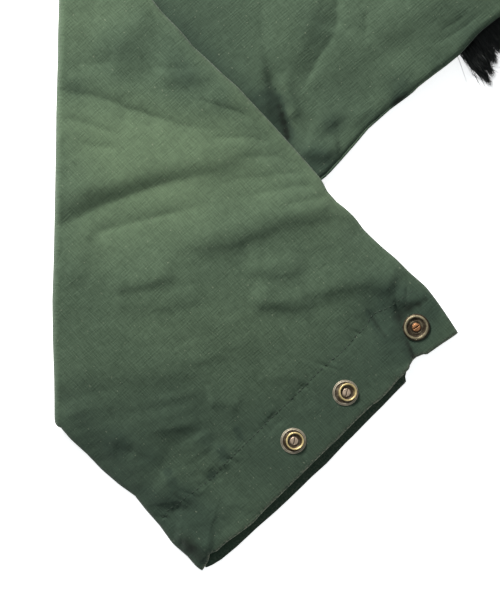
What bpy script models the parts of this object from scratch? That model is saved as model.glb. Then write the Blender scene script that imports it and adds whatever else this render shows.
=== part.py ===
"""Hunting jacket laid out flat, front up, with each forearm folded back over its upper arm.

Plan sizes are in millimetres on the table: x from the centre front (wearer's right is -x),
y up towards the collar.  Objects are made in metres with z up from the table.
"""

import math

import bmesh
import bpy
import numpy as np
from mathutils import Vector
from mathutils.bvhtree import BVHTree

# ------------------------------------------------------------------ sizes, mm
MM = 0.001
CENTRE_Y = 152.2        # plan y of the middle of the whole outline
WALL = 1.2              # cloth of the shell
SEAM = 0.35             # room left between two pieces at a seam
EDGE_GAP = 0.6          # room inside the garment beside its closed edges
OPEN_GAP = 2.4          # room inside it away from them
GAP_REACH = 60.0        # distance over which the room opens
STEP = WALL + 0.3       # from one cloth to the next one lying on it
FOLD_ROOM = 1.0         # room between the folded forearm and the upper arm

HALF_CHEST = 300.0
HALF_HEM = 309.0
HEM_Y = -279.0
PIT = (-300.0, 179.0)
SHOULDER = (-252.0, 475.7)
NECK = (-95.0, 521.0)
FRONT_NECK_DEPTH = 85.0
BACK_NECK_DEPTH = 18.0
ARMHOLE_BOW = 14.0
COLLAR_TOP = (-88.0, 583.0)
COLLAR_FRONT_DIP = 87.0
COLLAR_BACK_DIP = 18.0

FOLD_LOW = (-562.6, -52.3)      # elbow fold, underarm end
FOLD_HIGH = (-561.6, 191.5)     # elbow fold, overarm end

# column of a body panel: share of the half width, from centre front to side
COLUMNS = (0.0, 0.1, 0.167, 0.233, 0.32, 0.377, 0.5, 0.6, 0.7, 0.833, 1.0)
NECK_COLUMN = 5
# rows of a body panel up to the armpit: height above the hem
LOW_ROWS = (0.0, 40.0, 90.0, 140.0, 190.0, 225.0, 255.0, 300.0, 345.0, 390.0, 425.0, 458.0)
ARM_ROWS = 8                    # rows from the armpit to the shoulder point

# edges of the forearm from the fold to the cuff: (x, y)
UNDER_EDGE = ((-562.6, -52.3), (-561.3, -58.5), (-554.9, -66.3), (-540.0, -81.1),
              (-524.2, -93.6), (-512.2, -108.0), (-498.8, -122.9), (-492.1, -129.6))
OVER_EDGE = ((-561.6, 191.5), (-516.5, 144.5), (-475.2, 102.2), (-435.4, 58.1),
             (-399.4, 20.6), (-369.2, -15.4))
# cuff edge: share of the width from the underarm edge, how far the back half and
# the front half of the sleeve reach past the straight line between the corners
CUFF_EDGE = ((0.0, 0.0, 1.0), (0.06, -2.6, 2.6), (0.2, -1.7, 3.1), (0.35, -2.8, 2.9),
             (0.5, -2.6, 2.2), (0.68, -3.7, 0.4), (0.82, -3.6, -2.9), (0.87, -5.2, -4.0),
             (0.94, -1.8, -2.0), (1.0, 0.0, 0.0))
UPPER_ROWS = 12
FORE_ROWS = 11
TURN_STEPS = 6

# hood folded flat under the shoulder: line of its face edge and the outline behind it
RUFF_START = (0.0, 440.0)
RUFF_ALONG = (-0.785, -0.619)
RUFF_ACROSS = (0.619, -0.785)
HOOD_OUTLINE = ((0.0, 440.0), (-100.0, 361.1), (-200.0, 282.3), (-300.0, 203.4),
                (-362.0, 154.5), (-392.0, 160.0), (-408.0, 188.0), (-400.0, 232.0),
                (-366.0, 284.0), (-300.0, 350.0), (-215.0, 415.0), (-130.0, 470.0),
                (-84.0, 494.0), (-20.0, 490.0), (6.0, 466.0))
HOOD_EDGE = ((1.0, 0.0), (0.15, 0.45), (0.0, 0.8), (0.9, 1.3), (0.0, 1.75), (0.2, 2.15),
             (1.1, 2.6))        # ring: (inset, z), two layers showing at the rim
HOOD_LIFT = 3.2
HOOD_RAMP = 60.0
RUFF_LIFT = 7.2
# ruff: place along the face edge, length of the hair there
RUFF_ROWS = ((3.0, 30.0), (60.0, 44.0), (120.0, 40.0), (180.0, 46.0), (240.0, 41.0),
             (300.0, 46.0), (345.0, 40.0), (378.0, 45.0), (398.0, 36.0), (414.0, 46.0),
             (430.0, 37.0), (446.0, 49.0), (459.0, 40.0), (471.0, 33.0), (485.0, 45.5),
             (490.0, 26.0))
# section of the ruff: share of the hair length, height
RUFF_SECTION = ((0.0, 0.0), (0.5, 0.0), (1.0, 0.0), (1.0, 0.7), (0.72, 3.0), (0.42, 5.6),
                (0.16, 6.0), (0.0, 3.2))

# snaps on the cuff: name, x, y on the plan, kind
CUFF_SNAPS = (("cuff_socket", -389.3, -13.0, "socket"),
              ("cuff_stud_upper", -423.9, -43.7, "stud"),
              ("cuff_stud_lower", -448.8, -66.7, "stud"))
# turned profiles: (radius, height)
SOCKET_PROFILE = ((2.0, 0.0), (6.0, 0.0), (6.25, 0.5), (5.9, 1.3), (5.0, 1.9), (4.1, 1.9),
                  (3.5, 1.0), (2.0, 0.7))
STUD_PROFILE = ((0.0, 0.0), (6.0, 0.0), (6.2, 0.4), (5.6, 0.9), (4.5, 1.0), (4.4, 2.4),
                (4.0, 2.9), (3.0, 2.9), (2.4, 2.0), (0.0, 2.0))
CAP_PROFILE = ((0.0, 0.0), (5.9, 0.0), (6.25, 0.5), (6.0, 1.1), (4.8, 1.7), (0.0, 2.1))
PLACKET_SNAP_Y = (-225.0, -90.0, 45.0, 180.0, 315.0, 415.0)
PLACKET_COLUMNS = 1             # panel columns that the placket covers on each side
POCKET_COLUMNS = (3, 9)
POCKET_ROWS = (1, 5)
FLAP_ROWS = (4, 6)

CLOTH = (0.105, 0.148, 0.095)
TRIM = (0.098, 0.138, 0.090)
FUR = (0.006, 0.009, 0.007)
BRASS = (0.30, 0.22, 0.11)


# ------------------------------------------------------------------ helpers
def clear_scene():
    for ob in list(bpy.data.objects):
        bpy.data.objects.remove(ob, do_unlink=True)


def smooth(x):
    x = min(1.0, max(0.0, x))
    return x * x * (3.0 - 2.0 * x)


def mix(a, b, w):
    return tuple(p + (q - p) * w for p, q in zip(a, b))


def segment_distance(p, a, b):
    ax, ay = b[0] - a[0], b[1] - a[1]
    w = ((p[0] - a[0]) * ax + (p[1] - a[1]) * ay) / (ax * ax + ay * ay)
    w = min(1.0, max(0.0, w))
    return math.hypot(p[0] - a[0] - w * ax, p[1] - a[1] - w * ay)


def line_distance(p, line):
    return min(segment_distance(p, a, b) for a, b in zip(line, line[1:]))


def inside(p, ring):
    hit = False
    for (x0, y0), (x1, y1) in zip(ring, ring[1:] + ring[:1]):
        if (y0 > p[1]) != (y1 > p[1]) and p[0] < (x1 - x0) * (p[1] - y0) / (y1 - y0) + x0:
            hit = not hit
    return hit


def along(line, share):
    """The point at a share of a polyline's length."""
    spans = [math.dist(a, b) for a, b in zip(line, line[1:])]
    left = share * sum(spans)
    for (a, b), span in zip(zip(line, line[1:]), spans):
        if left <= span or (a, b) == (line[-2], line[-1]):
            return mix(a, b, left / span)
        left -= span


def column_of(table, where, column):
    return float(np.interp(where, [r[0] for r in table], [r[column] for r in table]))


# ------------------------------------------------------------------ levels on the plan
def lift(x, y):
    """Height of what lies under the garment: the hood and its ruff, by the right shoulder."""
    ring = list(HOOD_OUTLINE)
    off = 0.0 if inside((x, y), ring) else line_distance((x, y), ring + ring[:1])
    hood = HOOD_LIFT * smooth(1.0 - off / HOOD_RAMP)
    dx, dy = x - RUFF_START[0], y - RUFF_START[1]
    a = dx * RUFF_ALONG[0] + dy * RUFF_ALONG[1]
    b = dx * RUFF_ACROSS[0] + dy * RUFF_ACROSS[1]
    past = max(0.0, -a, a - RUFF_ROWS[-1][0] - 4.0)
    side = smooth((b + 38.0) / 38.0) * smooth((84.0 - b) / 56.0)
    ruff = RUFF_LIFT * side * smooth(1.0 - past / 45.0)
    return math.hypot(hood, ruff)


CLOSED = (((-HALF_HEM, HEM_Y), PIT, FOLD_LOW), (FOLD_HIGH, SHOULDER, NECK, COLLAR_TOP))


def room(x, y):
    """Clear room between the back and the front cloth."""
    off = min(line_distance((-abs(x), y), line) for line in CLOSED)
    return EDGE_GAP + (OPEN_GAP - EDGE_GAP) * smooth(off / GAP_REACH)


def back_level(x, y):
    return lift(x, y) + WALL / 2


def front_level(x, y):
    return back_level(x, y) + WALL + room(x, y)


def fore_room(x, y):
    off = min(line_distance((x, y), UNDER_EDGE), line_distance((x, y), OVER_EDGE))
    return EDGE_GAP + (OPEN_GAP - EDGE_GAP) * smooth(off / GAP_REACH)


def fore_low_level(x, y, side):
    """Lower cloth of the forearm: on the upper arm, then down to the table."""
    ax, ay = FOLD_LOW[0] - PIT[0], FOLD_LOW[1] - PIT[1]
    size = math.hypot(ax, ay)
    below = ((x - PIT[0]) * ay - (y - PIT[1]) * ax) / size * -1.0
    on_arm = front_level(side * -x, y) + WALL + FOLD_ROOM
    w = smooth((below - 6.0) / 28.0)
    return on_arm + (WALL / 2 - on_arm) * w


# ------------------------------------------------------------------ making objects
def material(name, colour, roughness, metallic=0.0):
    m = bpy.data.materials.new(name)
    m.use_nodes = True
    shader = m.node_tree.nodes["Principled BSDF"]
    shader.inputs["Base Color"].default_value = (*colour, 1.0)
    shader.inputs["Roughness"].default_value = roughness
    shader.inputs["Metallic"].default_value = metallic
    m.diffuse_color = (*colour, 1.0)
    return m


def place(p):
    return (p[0] * MM, (p[1] - CENTRE_Y) * MM, p[2] * MM)


def new_object(name, verts, faces, mat):
    mesh = bpy.data.meshes.new(name)
    mesh.from_pydata([place(v) for v in verts], [], faces)
    mesh.validate()
    mesh.update()
    ob = bpy.data.objects.new(name, mesh)
    ob.data.materials.append(mat)
    GARMENT.objects.link(ob)
    bm = bmesh.new()
    bm.from_mesh(mesh)
    bmesh.ops.recalc_face_normals(bm, faces=bm.faces)
    bm.to_mesh(mesh)
    bm.free()
    return ob


def grid_faces(grid):
    """Two triangles a cell, split along its higher diagonal, so cloths that lie together match."""
    columns = len(grid[0])
    flat = [p for row in grid for p in row]
    faces = []
    for r in range(len(grid) - 1):
        for c in range(columns - 1):
            q = (r * columns + c, r * columns + c + 1, (r + 1) * columns + c + 1,
                 (r + 1) * columns + c)
            if flat[q[0]][2] + flat[q[2]][2] >= flat[q[1]][2] + flat[q[3]][2]:
                faces += [(q[0], q[1], q[2]), (q[0], q[2], q[3])]
            else:
                faces += [(q[0], q[1], q[3]), (q[1], q[2], q[3])]
    return faces


def cloth(name, grid, mat, wall=WALL):
    """A wall of cloth, half its thickness to each side of a grid of points."""
    ob = new_object(name, [p for row in grid for p in row], grid_faces(grid), mat)
    solid = ob.modifiers.new("wall", "SOLIDIFY")
    solid.thickness = wall * MM
    solid.offset = 0.0
    solid.use_even_offset = True
    return ob


def moved_up(grid, by):
    return [[(p[0], p[1], p[2] + b) for p, b in zip(row, [by] * len(row))] for row in grid]


# ------------------------------------------------------------------ body panels
def armhole(t, out=0.0):
    """The right armhole seam from the armpit to the shoulder, bowed towards the body."""
    x, y = mix(PIT, SHOULDER, t)
    bow = ARMHOLE_BOW * math.sin(math.pi * t) - out
    size = math.dist(PIT, SHOULDER)
    nx, ny = (SHOULDER[1] - PIT[1]) / size, -(SHOULDER[0] - PIT[0]) / size
    return (x + nx * bow, y + ny * bow)


def neck_dip(q, depth):
    return depth * math.sqrt(max(0.0, 1.0 - q * q))


def body_grid(side, neck_depth, level, centre):
    """Rows from hem to shoulder, columns from the centre to the side; side is 1 or -1."""
    top_y = NECK[1] - neck_depth
    rows = []
    for above in LOW_ROWS:
        y = HEM_Y + above
        half = HALF_HEM + (HALF_CHEST - HALF_HEM) * above / LOW_ROWS[-1]
        rows.append([(max(centre, half * c), y) for c in COLUMNS])
    low_centre = HEM_Y + LOW_ROWS[-1]
    for k in range(1, ARM_ROWS + 1):
        t = k / ARM_ROWS
        sx, sy = armhole(t)
        sx = abs(sx)
        cy = low_centre + (top_y - low_centre) * t
        row = []
        for c in COLUMNS:
            x = max(centre, sx * c)
            y = cy + (sy - cy) * c
            # the top edge leaves the straight row: neck curve, then the shoulder seam
            q = c / COLUMNS[NECK_COLUMN]
            straight = top_y + (SHOULDER[1] - top_y) * c
            if q <= 1.0:
                edge = NECK[1] - neck_dip(q, neck_depth)
                edge_x = -NECK[0] * q
            else:
                w = (c - COLUMNS[NECK_COLUMN]) / (1.0 - COLUMNS[NECK_COLUMN])
                edge_x, edge = -mix(NECK, SHOULDER, w)[0], mix(NECK, SHOULDER, w)[1]
            weight = t * t
            y += (edge - straight) * weight
            x += (edge_x - -SHOULDER[0] * c) * weight
            row.append((max(centre, x), y))
        rows.append(row)
    return [[(side * x, y, level(side * x, y)) for x, y in row] for row in rows]


# ------------------------------------------------------------------ sleeves
def sleeve_grids(side):
    """Back and front half of one sleeve; side -1 is the wearer's right."""
    shares = [k / ARM_ROWS for k in range(ARM_ROWS + 1)]
    back, front = [], []

    def real(x, y):
        return (-side * x, y)

    turn = []
    for t in shares:
        fx, fy = mix(FOLD_LOW, FOLD_HIGH, t)
        x = fx + 4.0
        for _ in range(3):
            rx, ry = real(x, fy)
            b_low, a_low = back_level(rx, ry), front_level(rx, ry)
            a_high = fore_low_level(x, fy, side)
            b_high = a_high + WALL + fore_room(x, fy)
            x = fx + (b_high - b_low) / 2 + WALL / 2
        turn.append((x, fy, b_low, a_low, a_high, b_high))
    for i in range(UPPER_ROWS + 1):
        s = i / UPPER_ROWS
        row_b, row_a = [], []
        for t, (cx, cy, *_rest) in zip(shares, turn):
            x, y = mix(armhole(t, SEAM), (cx, cy), s)
            rx, ry = real(x, y)
            row_b.append((rx, ry, back_level(rx, ry)))
            row_a.append((rx, ry, front_level(rx, ry)))
        back.append(row_b)
        front.append(row_a)
    for j in range(1, TURN_STEPS):
        angle = math.pi * j / TURN_STEPS
        row_b, row_a = [], []
        for cx, cy, b_low, a_low, a_high, b_high in turn:
            for row, low, high in ((row_b, b_low, b_high), (row_a, a_low, a_high)):
                r = (high - low) / 2
                x = cx - r * math.sin(angle)
                rx, ry = real(x, cy)
                row.append((rx, ry, (high + low) / 2 - r * math.cos(angle)))
        back.append(row_b)
        front.append(row_a)
    c0, c1 = UNDER_EDGE[-1], OVER_EDGE[-1]
    size = math.dist(c0, c1)
    out = ((c1[1] - c0[1]) / size, -(c1[0] - c0[0]) / size)
    for i in range(FORE_ROWS + 1):
        s = i / FORE_ROWS
        row_b, row_a = [], []
        for t, (cx, cy, b_low, a_low, a_high, b_high) in zip(shares, turn):
            e0, e1 = along(UNDER_EDGE, s), along(OVER_EDGE, s)
            x, y = mix(e0, e1, t)
            start = mix(FOLD_LOW, FOLD_HIGH, t)
            w = smooth(s / 0.35)
            x += (cx - start[0]) * (1.0 - w)
            for row, column in ((row_b, 1), (row_a, 2)):
                far = column_of(CUFF_EDGE, t, column) * s ** 6
                px, py = x + out[0] * far, y + out[1] * far
                low = fore_low_level(px, py, side)
                z = low if column == 2 else low + WALL + fore_room(px, py)
                rx, ry = real(px, py)
                row.append((rx, ry, z))
        back.append(row_b)
        front.append(row_a)
    return back, front


# ------------------------------------------------------------------ collar
def collar_grid():
    qs = [c / COLUMNS[NECK_COLUMN] for c in COLUMNS[:NECK_COLUMN]]
    grid = []
    for r in range(4):
        w = r / 3
        half_x = -(NECK[0] + (COLLAR_TOP[0] - NECK[0]) * w) - 0.5
        side_y = NECK[1] + SEAM + (COLLAR_TOP[1] - NECK[1]) * w
        front_dip = (FRONT_NECK_DEPTH - 0.5) * (1 - w) + COLLAR_FRONT_DIP * w
        back_dip = (BACK_NECK_DEPTH - 0.5) * (1 - w) + COLLAR_BACK_DIP * w

        def flat(q, dip, level, side):
            x = side * max(0.4, half_x * q)
            y = side_y - neck_dip(q, dip)
            return (x, y, level(x, y))

        def turn(side):
            x0 = side * half_x
            low, high = back_level(x0, side_y), front_level(x0, side_y)
            rad = (high - low) / 2
            pts = []
            for k in range(5):
                a = math.pi * k / 4
                pts.append((x0 - side * rad * (1 - math.sin(a)), side_y - 0.0,
                            (high + low) / 2 + rad * math.cos(a)))
            return pts

        row = [flat(q, front_dip, front_level, 1) for q in qs]
        row += turn(1)
        row += [flat(q, back_dip, back_level, 1) for q in reversed(qs[1:])]
        x = 0.0
        y = side_y - back_dip
        row.append((x, y, back_level(x, y)))
        row += [flat(q, back_dip, back_level, -1) for q in qs[1:]]
        row += list(reversed(turn(-1)))
        row += [flat(q, front_dip, front_level, -1) for q in reversed(qs)]
        grid.append(row)
    return grid


# ------------------------------------------------------------------ hood and ruff
def ring_solid(name, rings, mat):
    """A closed loft through rings of the same count, capped at both ends."""
    n = len(rings[0])
    verts = [p for ring in rings for p in ring]
    faces = [tuple(reversed(range(n))), tuple((len(rings) - 1) * n + k for k in range(n))]
    for r in range(len(rings) - 1):
        for k in range(n):
            m = (k + 1) % n
            faces.append((r * n + k, r * n + m, (r + 1) * n + m, (r + 1) * n + k))
    return new_object(name, verts, faces, mat)


def inset_ring(ring, by):
    out = []
    n = len(ring)
    for k in range(n):
        (x0, y0), (x1, y1), (x2, y2) = ring[k - 1], ring[k], ring[(k + 1) % n]
        d0, d1 = math.hypot(x1 - x0, y1 - y0), math.hypot(x2 - x1, y2 - y1)
        nx = (y1 - y0) / d0 + (y2 - y1) / d1
        ny = -(x1 - x0) / d0 - (x2 - x1) / d1
        size = math.hypot(nx, ny)
        out.append((x1 + nx / size * by, y1 + ny / size * by))
    return out


def hood_object(mat):
    ring = list(HOOD_OUTLINE)
    rings = [[(x, y, z) for x, y in inset_ring(ring, by)] for by, z in HOOD_EDGE]
    return ring_solid("hood", rings, mat)


def ruff_object(mat):
    rings = []
    for a, reach in RUFF_ROWS:
        ring = []
        for share, z in RUFF_SECTION:
            b = 0.6 + (reach - 0.6) * share
            ring.append((RUFF_START[0] + RUFF_ALONG[0] * a + RUFF_ACROSS[0] * b,
                         RUFF_START[1] + RUFF_ALONG[1] * a + RUFF_ACROSS[1] * b, z))
        rings.append(ring)
    return ring_solid("ruff", rings, mat)


# ------------------------------------------------------------------ snaps
def cloth_tree(grid):
    verts = [Vector(p) for row in grid for p in row]
    return BVHTree.FromPolygons(verts, grid_faces(grid))


def turned(name, profile, mat, spot, normal, steps=16):
    mesh = bpy.data.meshes.new(name)
    closed = profile[0][0] > 0.0
    edges = [(k, k + 1) for k in range(len(profile) - 1)]
    if closed:
        edges.append((len(profile) - 1, 0))
    mesh.from_pydata([(r * MM, 0.0, z * MM) for r, z in profile], edges, [])
    ob = bpy.data.objects.new(name, mesh)
    ob.data.materials.append(mat)
    GARMENT.objects.link(ob)
    screw = ob.modifiers.new("turn", "SCREW")
    screw.angle = 2.0 * math.pi
    screw.steps = steps
    screw.render_steps = steps
    screw.use_merge_vertices = True
    screw.merge_threshold = 0.00005
    screw.use_normal_calculate = True
    ob.location = place(spot)
    ob.rotation_mode = "QUATERNION"
    ob.rotation_quaternion = Vector(normal).to_track_quat("Z", "Y")
    return ob


def snap(name, kind, x, y, grid, mat, wall=WALL, radius=6.3):
    """A snap laid on the cloth of a grid, clear of its highest face under the rim."""
    tree = cloth_tree(grid)

    def hit(px, py):
        return tree.ray_cast(Vector((px, py, 60.0)), Vector((0.0, 0.0, -1.0)))

    spot, normal, _, _ = hit(x, y)
    if normal.z < 0.0:
        normal = -normal
    if normal.z < math.cos(math.radians(12.0)):
        normal = Vector((0.0, 0.0, 1.0))
    clear = 0.0
    for k in range(12):
        for share in (0.5, 1.0):
            a = math.pi * k / 6
            p = hit(x + radius * share * math.cos(a), y + radius * share * math.sin(a))[0]
            if p is not None:
                clear = max(clear, (p - spot).dot(normal))
    base = spot + normal * (clear + wall / 2 + 0.3)
    profile = {"socket": SOCKET_PROFILE, "stud": STUD_PROFILE, "cap": CAP_PROFILE}[kind]
    return turned(name, profile, mat, tuple(base), tuple(normal))


# ------------------------------------------------------------------ build
clear_scene()
GARMENT = bpy.data.collections.new("hunting_jacket")
bpy.context.scene.collection.children.link(GARMENT)

shell = material("shell_cloth", CLOTH, 0.92)
trim = material("trim_cloth", TRIM, 0.92)
fur = material("black_fur", FUR, 0.85)
brass = material("antique_brass", BRASS, 0.42, 1.0)

back_left = body_grid(1, BACK_NECK_DEPTH, back_level, 0.0)
back_right = body_grid(-1, BACK_NECK_DEPTH, back_level, 0.0)
back_whole = [list(reversed(r[1:])) + l for r, l in zip(back_right, back_left)]
cloth("back", back_whole, shell)

fronts = {}
for tag, side in (("r", -1), ("l", 1)):
    grid = body_grid(side, FRONT_NECK_DEPTH, front_level, 0.4)
    fronts[tag] = grid
    cloth("front_" + tag, grid, shell)
    (r0, r1), (c0, c1) = POCKET_ROWS, POCKET_COLUMNS
    cloth("pocket_" + tag, moved_up([row[c0:c1 + 1] for row in grid[r0:r1 + 1]], STEP), trim)
    f0, f1 = FLAP_ROWS
    lifts = [2 * STEP] * (f1 - f0) + [STEP]
    flap = [[(x, y, z + by) for x, y, z in row[c0:c1 + 1]]
            for row, by in zip(grid[f0:f1 + 1], lifts)]
    cloth("flap_" + tag, flap, trim)
    mid = flap[0][len(flap[0]) // 2]
    snap("flap_snap_" + tag, "cap", mid[0], mid[1] + 14.0, flap, brass)

    back_half, front_half = sleeve_grids(side)
    cloth("sleeve_back_" + tag, back_half, shell)
    cloth("sleeve_front_" + tag, front_half, shell)
    forearm = back_half[UPPER_ROWS + TURN_STEPS:]
    for name, x, y, kind in CUFF_SNAPS:
        snap(name + "_" + tag, kind, -side * x, y, forearm, brass)

n = PLACKET_COLUMNS
placket = []
for right, left in zip(fronts["r"], fronts["l"]):
    middle = mix(right[0], left[0], 0.5)
    placket.append(list(reversed(right[1:n + 1])) + [middle] + left[1:n + 1])
placket = moved_up(placket, STEP)
cloth("placket", placket, trim)
for k, y in enumerate(PLACKET_SNAP_Y):
    snap("placket_snap_%d" % (k + 1), "cap", 0.0, y, placket, brass)

cloth("collar", collar_grid(), trim)
hood_object(shell)
ruff_object(fur)
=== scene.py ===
"""Looks of the hunting jacket: cloth shells with creases, seams, stitches, snaps and fur, round the CAD frame.

Plan sizes are millimetres on the table, as in the CAD: x from the centre front, y up towards the collar.
"""

import math

import bpy
import numpy as np
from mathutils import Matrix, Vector
from mathutils.bvhtree import BVHTree


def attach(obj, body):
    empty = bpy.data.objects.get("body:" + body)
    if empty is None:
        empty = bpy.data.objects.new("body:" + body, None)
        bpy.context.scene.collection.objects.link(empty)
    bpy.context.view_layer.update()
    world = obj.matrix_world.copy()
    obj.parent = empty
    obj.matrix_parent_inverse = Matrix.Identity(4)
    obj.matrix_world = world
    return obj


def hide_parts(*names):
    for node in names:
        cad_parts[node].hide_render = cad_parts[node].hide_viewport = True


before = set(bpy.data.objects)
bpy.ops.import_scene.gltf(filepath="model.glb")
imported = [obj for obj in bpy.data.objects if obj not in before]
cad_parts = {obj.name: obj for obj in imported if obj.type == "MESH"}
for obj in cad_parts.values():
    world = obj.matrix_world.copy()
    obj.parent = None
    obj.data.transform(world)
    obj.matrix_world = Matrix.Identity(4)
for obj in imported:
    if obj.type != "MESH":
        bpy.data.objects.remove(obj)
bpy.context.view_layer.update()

# ------------------------------------------------------------------ plan, shared with the CAD
CENTRE_Y = 152.2
PX = 0.48               # millimetres a pixel of the reference view
VIEW = (-469.0, 0.0)    # plan point in the middle of that view
HALF_CHEST, HALF_HEM, HEM_Y = 300.0, 309.0, -279.0
PIT, SHOULDER, NECK = (-300.0, 179.0), (-252.0, 475.7), (-95.0, 521.0)
FRONT_NECK_DEPTH, BACK_NECK_DEPTH, ARMHOLE_BOW = 85.0, 18.0, 14.0
COLLAR_TOP, COLLAR_FRONT_DIP, COLLAR_BACK_DIP = (-88.0, 583.0), 87.0, 18.0
FOLD_LOW, FOLD_HIGH = (-562.6, -52.3), (-561.6, 191.5)
RUFF_START, RUFF_ALONG, RUFF_ACROSS = (0.0, 440.0), (-0.785, -0.619), (0.619, -0.785)
HOOD_OUTLINE = ((0.0, 440.0), (-100.0, 361.1), (-200.0, 282.3), (-300.0, 203.4),
                (-362.0, 154.5), (-392.0, 160.0), (-408.0, 188.0), (-400.0, 232.0),
                (-366.0, 284.0), (-300.0, 350.0), (-215.0, 415.0), (-130.0, 470.0),
                (-84.0, 494.0), (-20.0, 490.0), (6.0, 466.0))
RUFF_ROWS = ((3.0, 30.0), (60.0, 44.0), (120.0, 40.0), (180.0, 46.0), (240.0, 41.0),
             (300.0, 46.0), (345.0, 40.0), (378.0, 45.0), (398.0, 36.0), (414.0, 46.0),
             (430.0, 37.0), (446.0, 49.0), (459.0, 40.0), (471.0, 33.0), (485.0, 45.5),
             (490.0, 26.0))
WALL = 1.0
FORE_DEPTH, ARM_DEPTH = 1.35, 1.35


def px(p):
    """A point given in pixels of the reference view, on the plan."""
    return (VIEW[0] + PX * (p[0] - 250.0), VIEW[1] + PX * (301.0 - p[1]))


# outlines of the right sleeve in the reference view, in pixels
FOLD_EDGE = ((57, -98), (59, 0), (58, 38), (58, 57), (57, 92), (56.4, 115), (56, 153), (55.3, 191),
             (54.5, 230), (53.6, 268), (52.5, 300), (52.8, 338), (54, 377), (53.9, 411))
UNDER_EDGE = ((53.9, 411), (57.8, 423), (71, 439), (87, 454), (102, 470), (119.5, 485), (135, 496),
              (146, 510), (160, 526), (173, 544), (188, 557), (196.5, 567), (202, 571))
OVER_EDGE = ((57, -98), (151, 0), (163, 15), (180, 32), (193, 48), (208.5, 62), (222, 75), (237, 88),
             (250, 102), (269, 122), (290, 145), (307, 164), (320, 179), (327, 192), (336, 202),
             (346, 209.5), (355, 218), (363, 229), (372, 238), (384, 249), (395, 258), (409, 272),
             (426, 287), (436, 300), (447, 316), (458, 333))
ARM_LOWER = ((55, 410), (320, 178), (326.5, 173), (342, 156), (357, 139), (367, 127), (390, 107),
             (411, 92), (418, 85), (434, 73), (445, 65), (458, 54.5), (479, 31.5), (500, 16), (602, -72))
# cuff edge past the straight line between its corners, in pixels: share of the width, reach
CUFF_BACK = ((0.0, 0.0), (0.03, -3.0), (0.049, -8.0), (0.07, -4.8), (0.107, -4.7), (0.157, -2.3),
             (0.20, -0.9), (0.235, -1.9), (0.25, -2.4), (0.313, -2.9), (0.392, -3.7), (0.47, -4.6),
             (0.549, -4.9), (0.627, -6.2), (0.68, -6.2), (0.705, -4.6), (0.75, -5.4), (0.78, -7.0),
             (0.797, -6.7), (0.827, -7.3), (0.844, -10.2), (0.855, -11.0), (0.868, -10.4), (0.888, -7.9),
             (0.8945, -5.4), (0.94, -3.2), (0.982, -0.8), (1.0, 0.0))
CUFF_FRONT = ((0.0, 1.0), (0.06, 5.4), (0.115, 6.6), (0.2, 6.5), (0.27, 7.3), (0.313, 7.3),
              (0.365, 7.0), (0.41, 6.5), (0.47, 6.8), (0.549, 4.8), (0.58, 4.6), (0.627, 3.8),
              (0.667, 3.2), (0.705, 2.8), (0.75, 1.8), (0.797, 1.2), (0.804, -3.0), (0.83, -9.0),
              (0.86, -14.0), (1.0, -14.0))


# ------------------------------------------------------------------ small maths on arrays
def smooth(x):
    x = np.clip(x, 0.0, 1.0)
    return x * x * (3.0 - 2.0 * x)


def seg_project(x, y, a, b):
    ax, ay = b[0] - a[0], b[1] - a[1]
    w = np.clip(((x - a[0]) * ax + (y - a[1]) * ay) / (ax * ax + ay * ay + 1e-12), 0.0, 1.0)
    dx, dy = x - a[0] - w * ax, y - a[1] - w * ay
    return np.hypot(dx, dy), w, ax * dy - ay * dx


def line_distance(x, y, line):
    best = np.full(np.shape(x), 1e9)
    for a, b in zip(line, line[1:]):
        best = np.minimum(best, seg_project(x, y, a, b)[0])
    return best


def line_project(x, y, line):
    """Distance, share of the length, and side (positive to the left of the way it runs)."""
    spans = [math.dist(a, b) for a, b in zip(line, line[1:])]
    total, run = sum(spans), 0.0
    best = np.full(np.shape(x), 1e9)
    share, side = np.zeros(np.shape(x)), np.ones(np.shape(x))
    for a, b, span in zip(line, line[1:], spans):
        d, w, cross = seg_project(x, y, a, b)
        near = d < best
        best = np.where(near, d, best)
        share = np.where(near, (run + w * span) / total, share)
        side = np.where(near, np.sign(cross), side)
        run += span
    return best, share, side


def inside(x, y, ring):
    hit = np.zeros(np.shape(x), bool)
    for (x0, y0), (x1, y1) in zip(ring, ring[1:] + ring[:1]):
        if y0 != y1:
            hit ^= ((y0 > y) != (y1 > y)) & (x < (x1 - x0) * (y - y0) / (y1 - y0) + x0)
    return hit


def resample(line, shares, blur=0.0):
    """Points of a polyline at shares of its length, its corners rounded by blur millimetres."""
    p = np.array(line, float)
    d = np.concatenate([[0.0], np.cumsum(np.hypot(*np.diff(p, axis=0).T))])
    if blur:
        n = 800
        u = np.linspace(0, d[-1], n)
        q = np.stack([np.interp(u, d, p[:, k]) for k in range(2)], 1)
        step = d[-1] / (n - 1)
        half = max(1, int(3 * blur / step))
        kern = np.exp(-0.5 * (np.arange(-half, half + 1) * step / blur) ** 2)
        kern /= kern.sum()
        before = 2 * q[0] - q[half:0:-1]
        after = 2 * q[-1] - q[-2:-half - 2:-1]
        long = np.concatenate([before, q, after])
        q = np.stack([np.convolve(long[:, k], kern, "valid") for k in range(2)], 1)
        return np.stack([np.interp(np.asarray(shares) * d[-1], u, q[:, k]) for k in range(2)], -1)
    return np.stack([np.interp(np.asarray(shares) * d[-1], d, p[:, k]) for k in range(2)], -1)


def value_noise(x, y, seed):
    """Smooth noise from -1 to 1, one cell a unit."""
    table = np.random.RandomState(seed).uniform(-1, 1, (64, 64))
    xi, yi = np.floor(x).astype(int), np.floor(y).astype(int)
    u, v = x - xi, y - yi
    u, v = u * u * u * (u * (6 * u - 15) + 10), v * v * v * (v * (6 * v - 15) + 10)
    a, b = table[xi % 64, yi % 64], table[(xi + 1) % 64, yi % 64]
    c, d = table[xi % 64, (yi + 1) % 64], table[(xi + 1) % 64, (yi + 1) % 64]
    return (a * (1 - u) + b * u) * (1 - v) + (c * (1 - u) + d * u) * v


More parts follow.
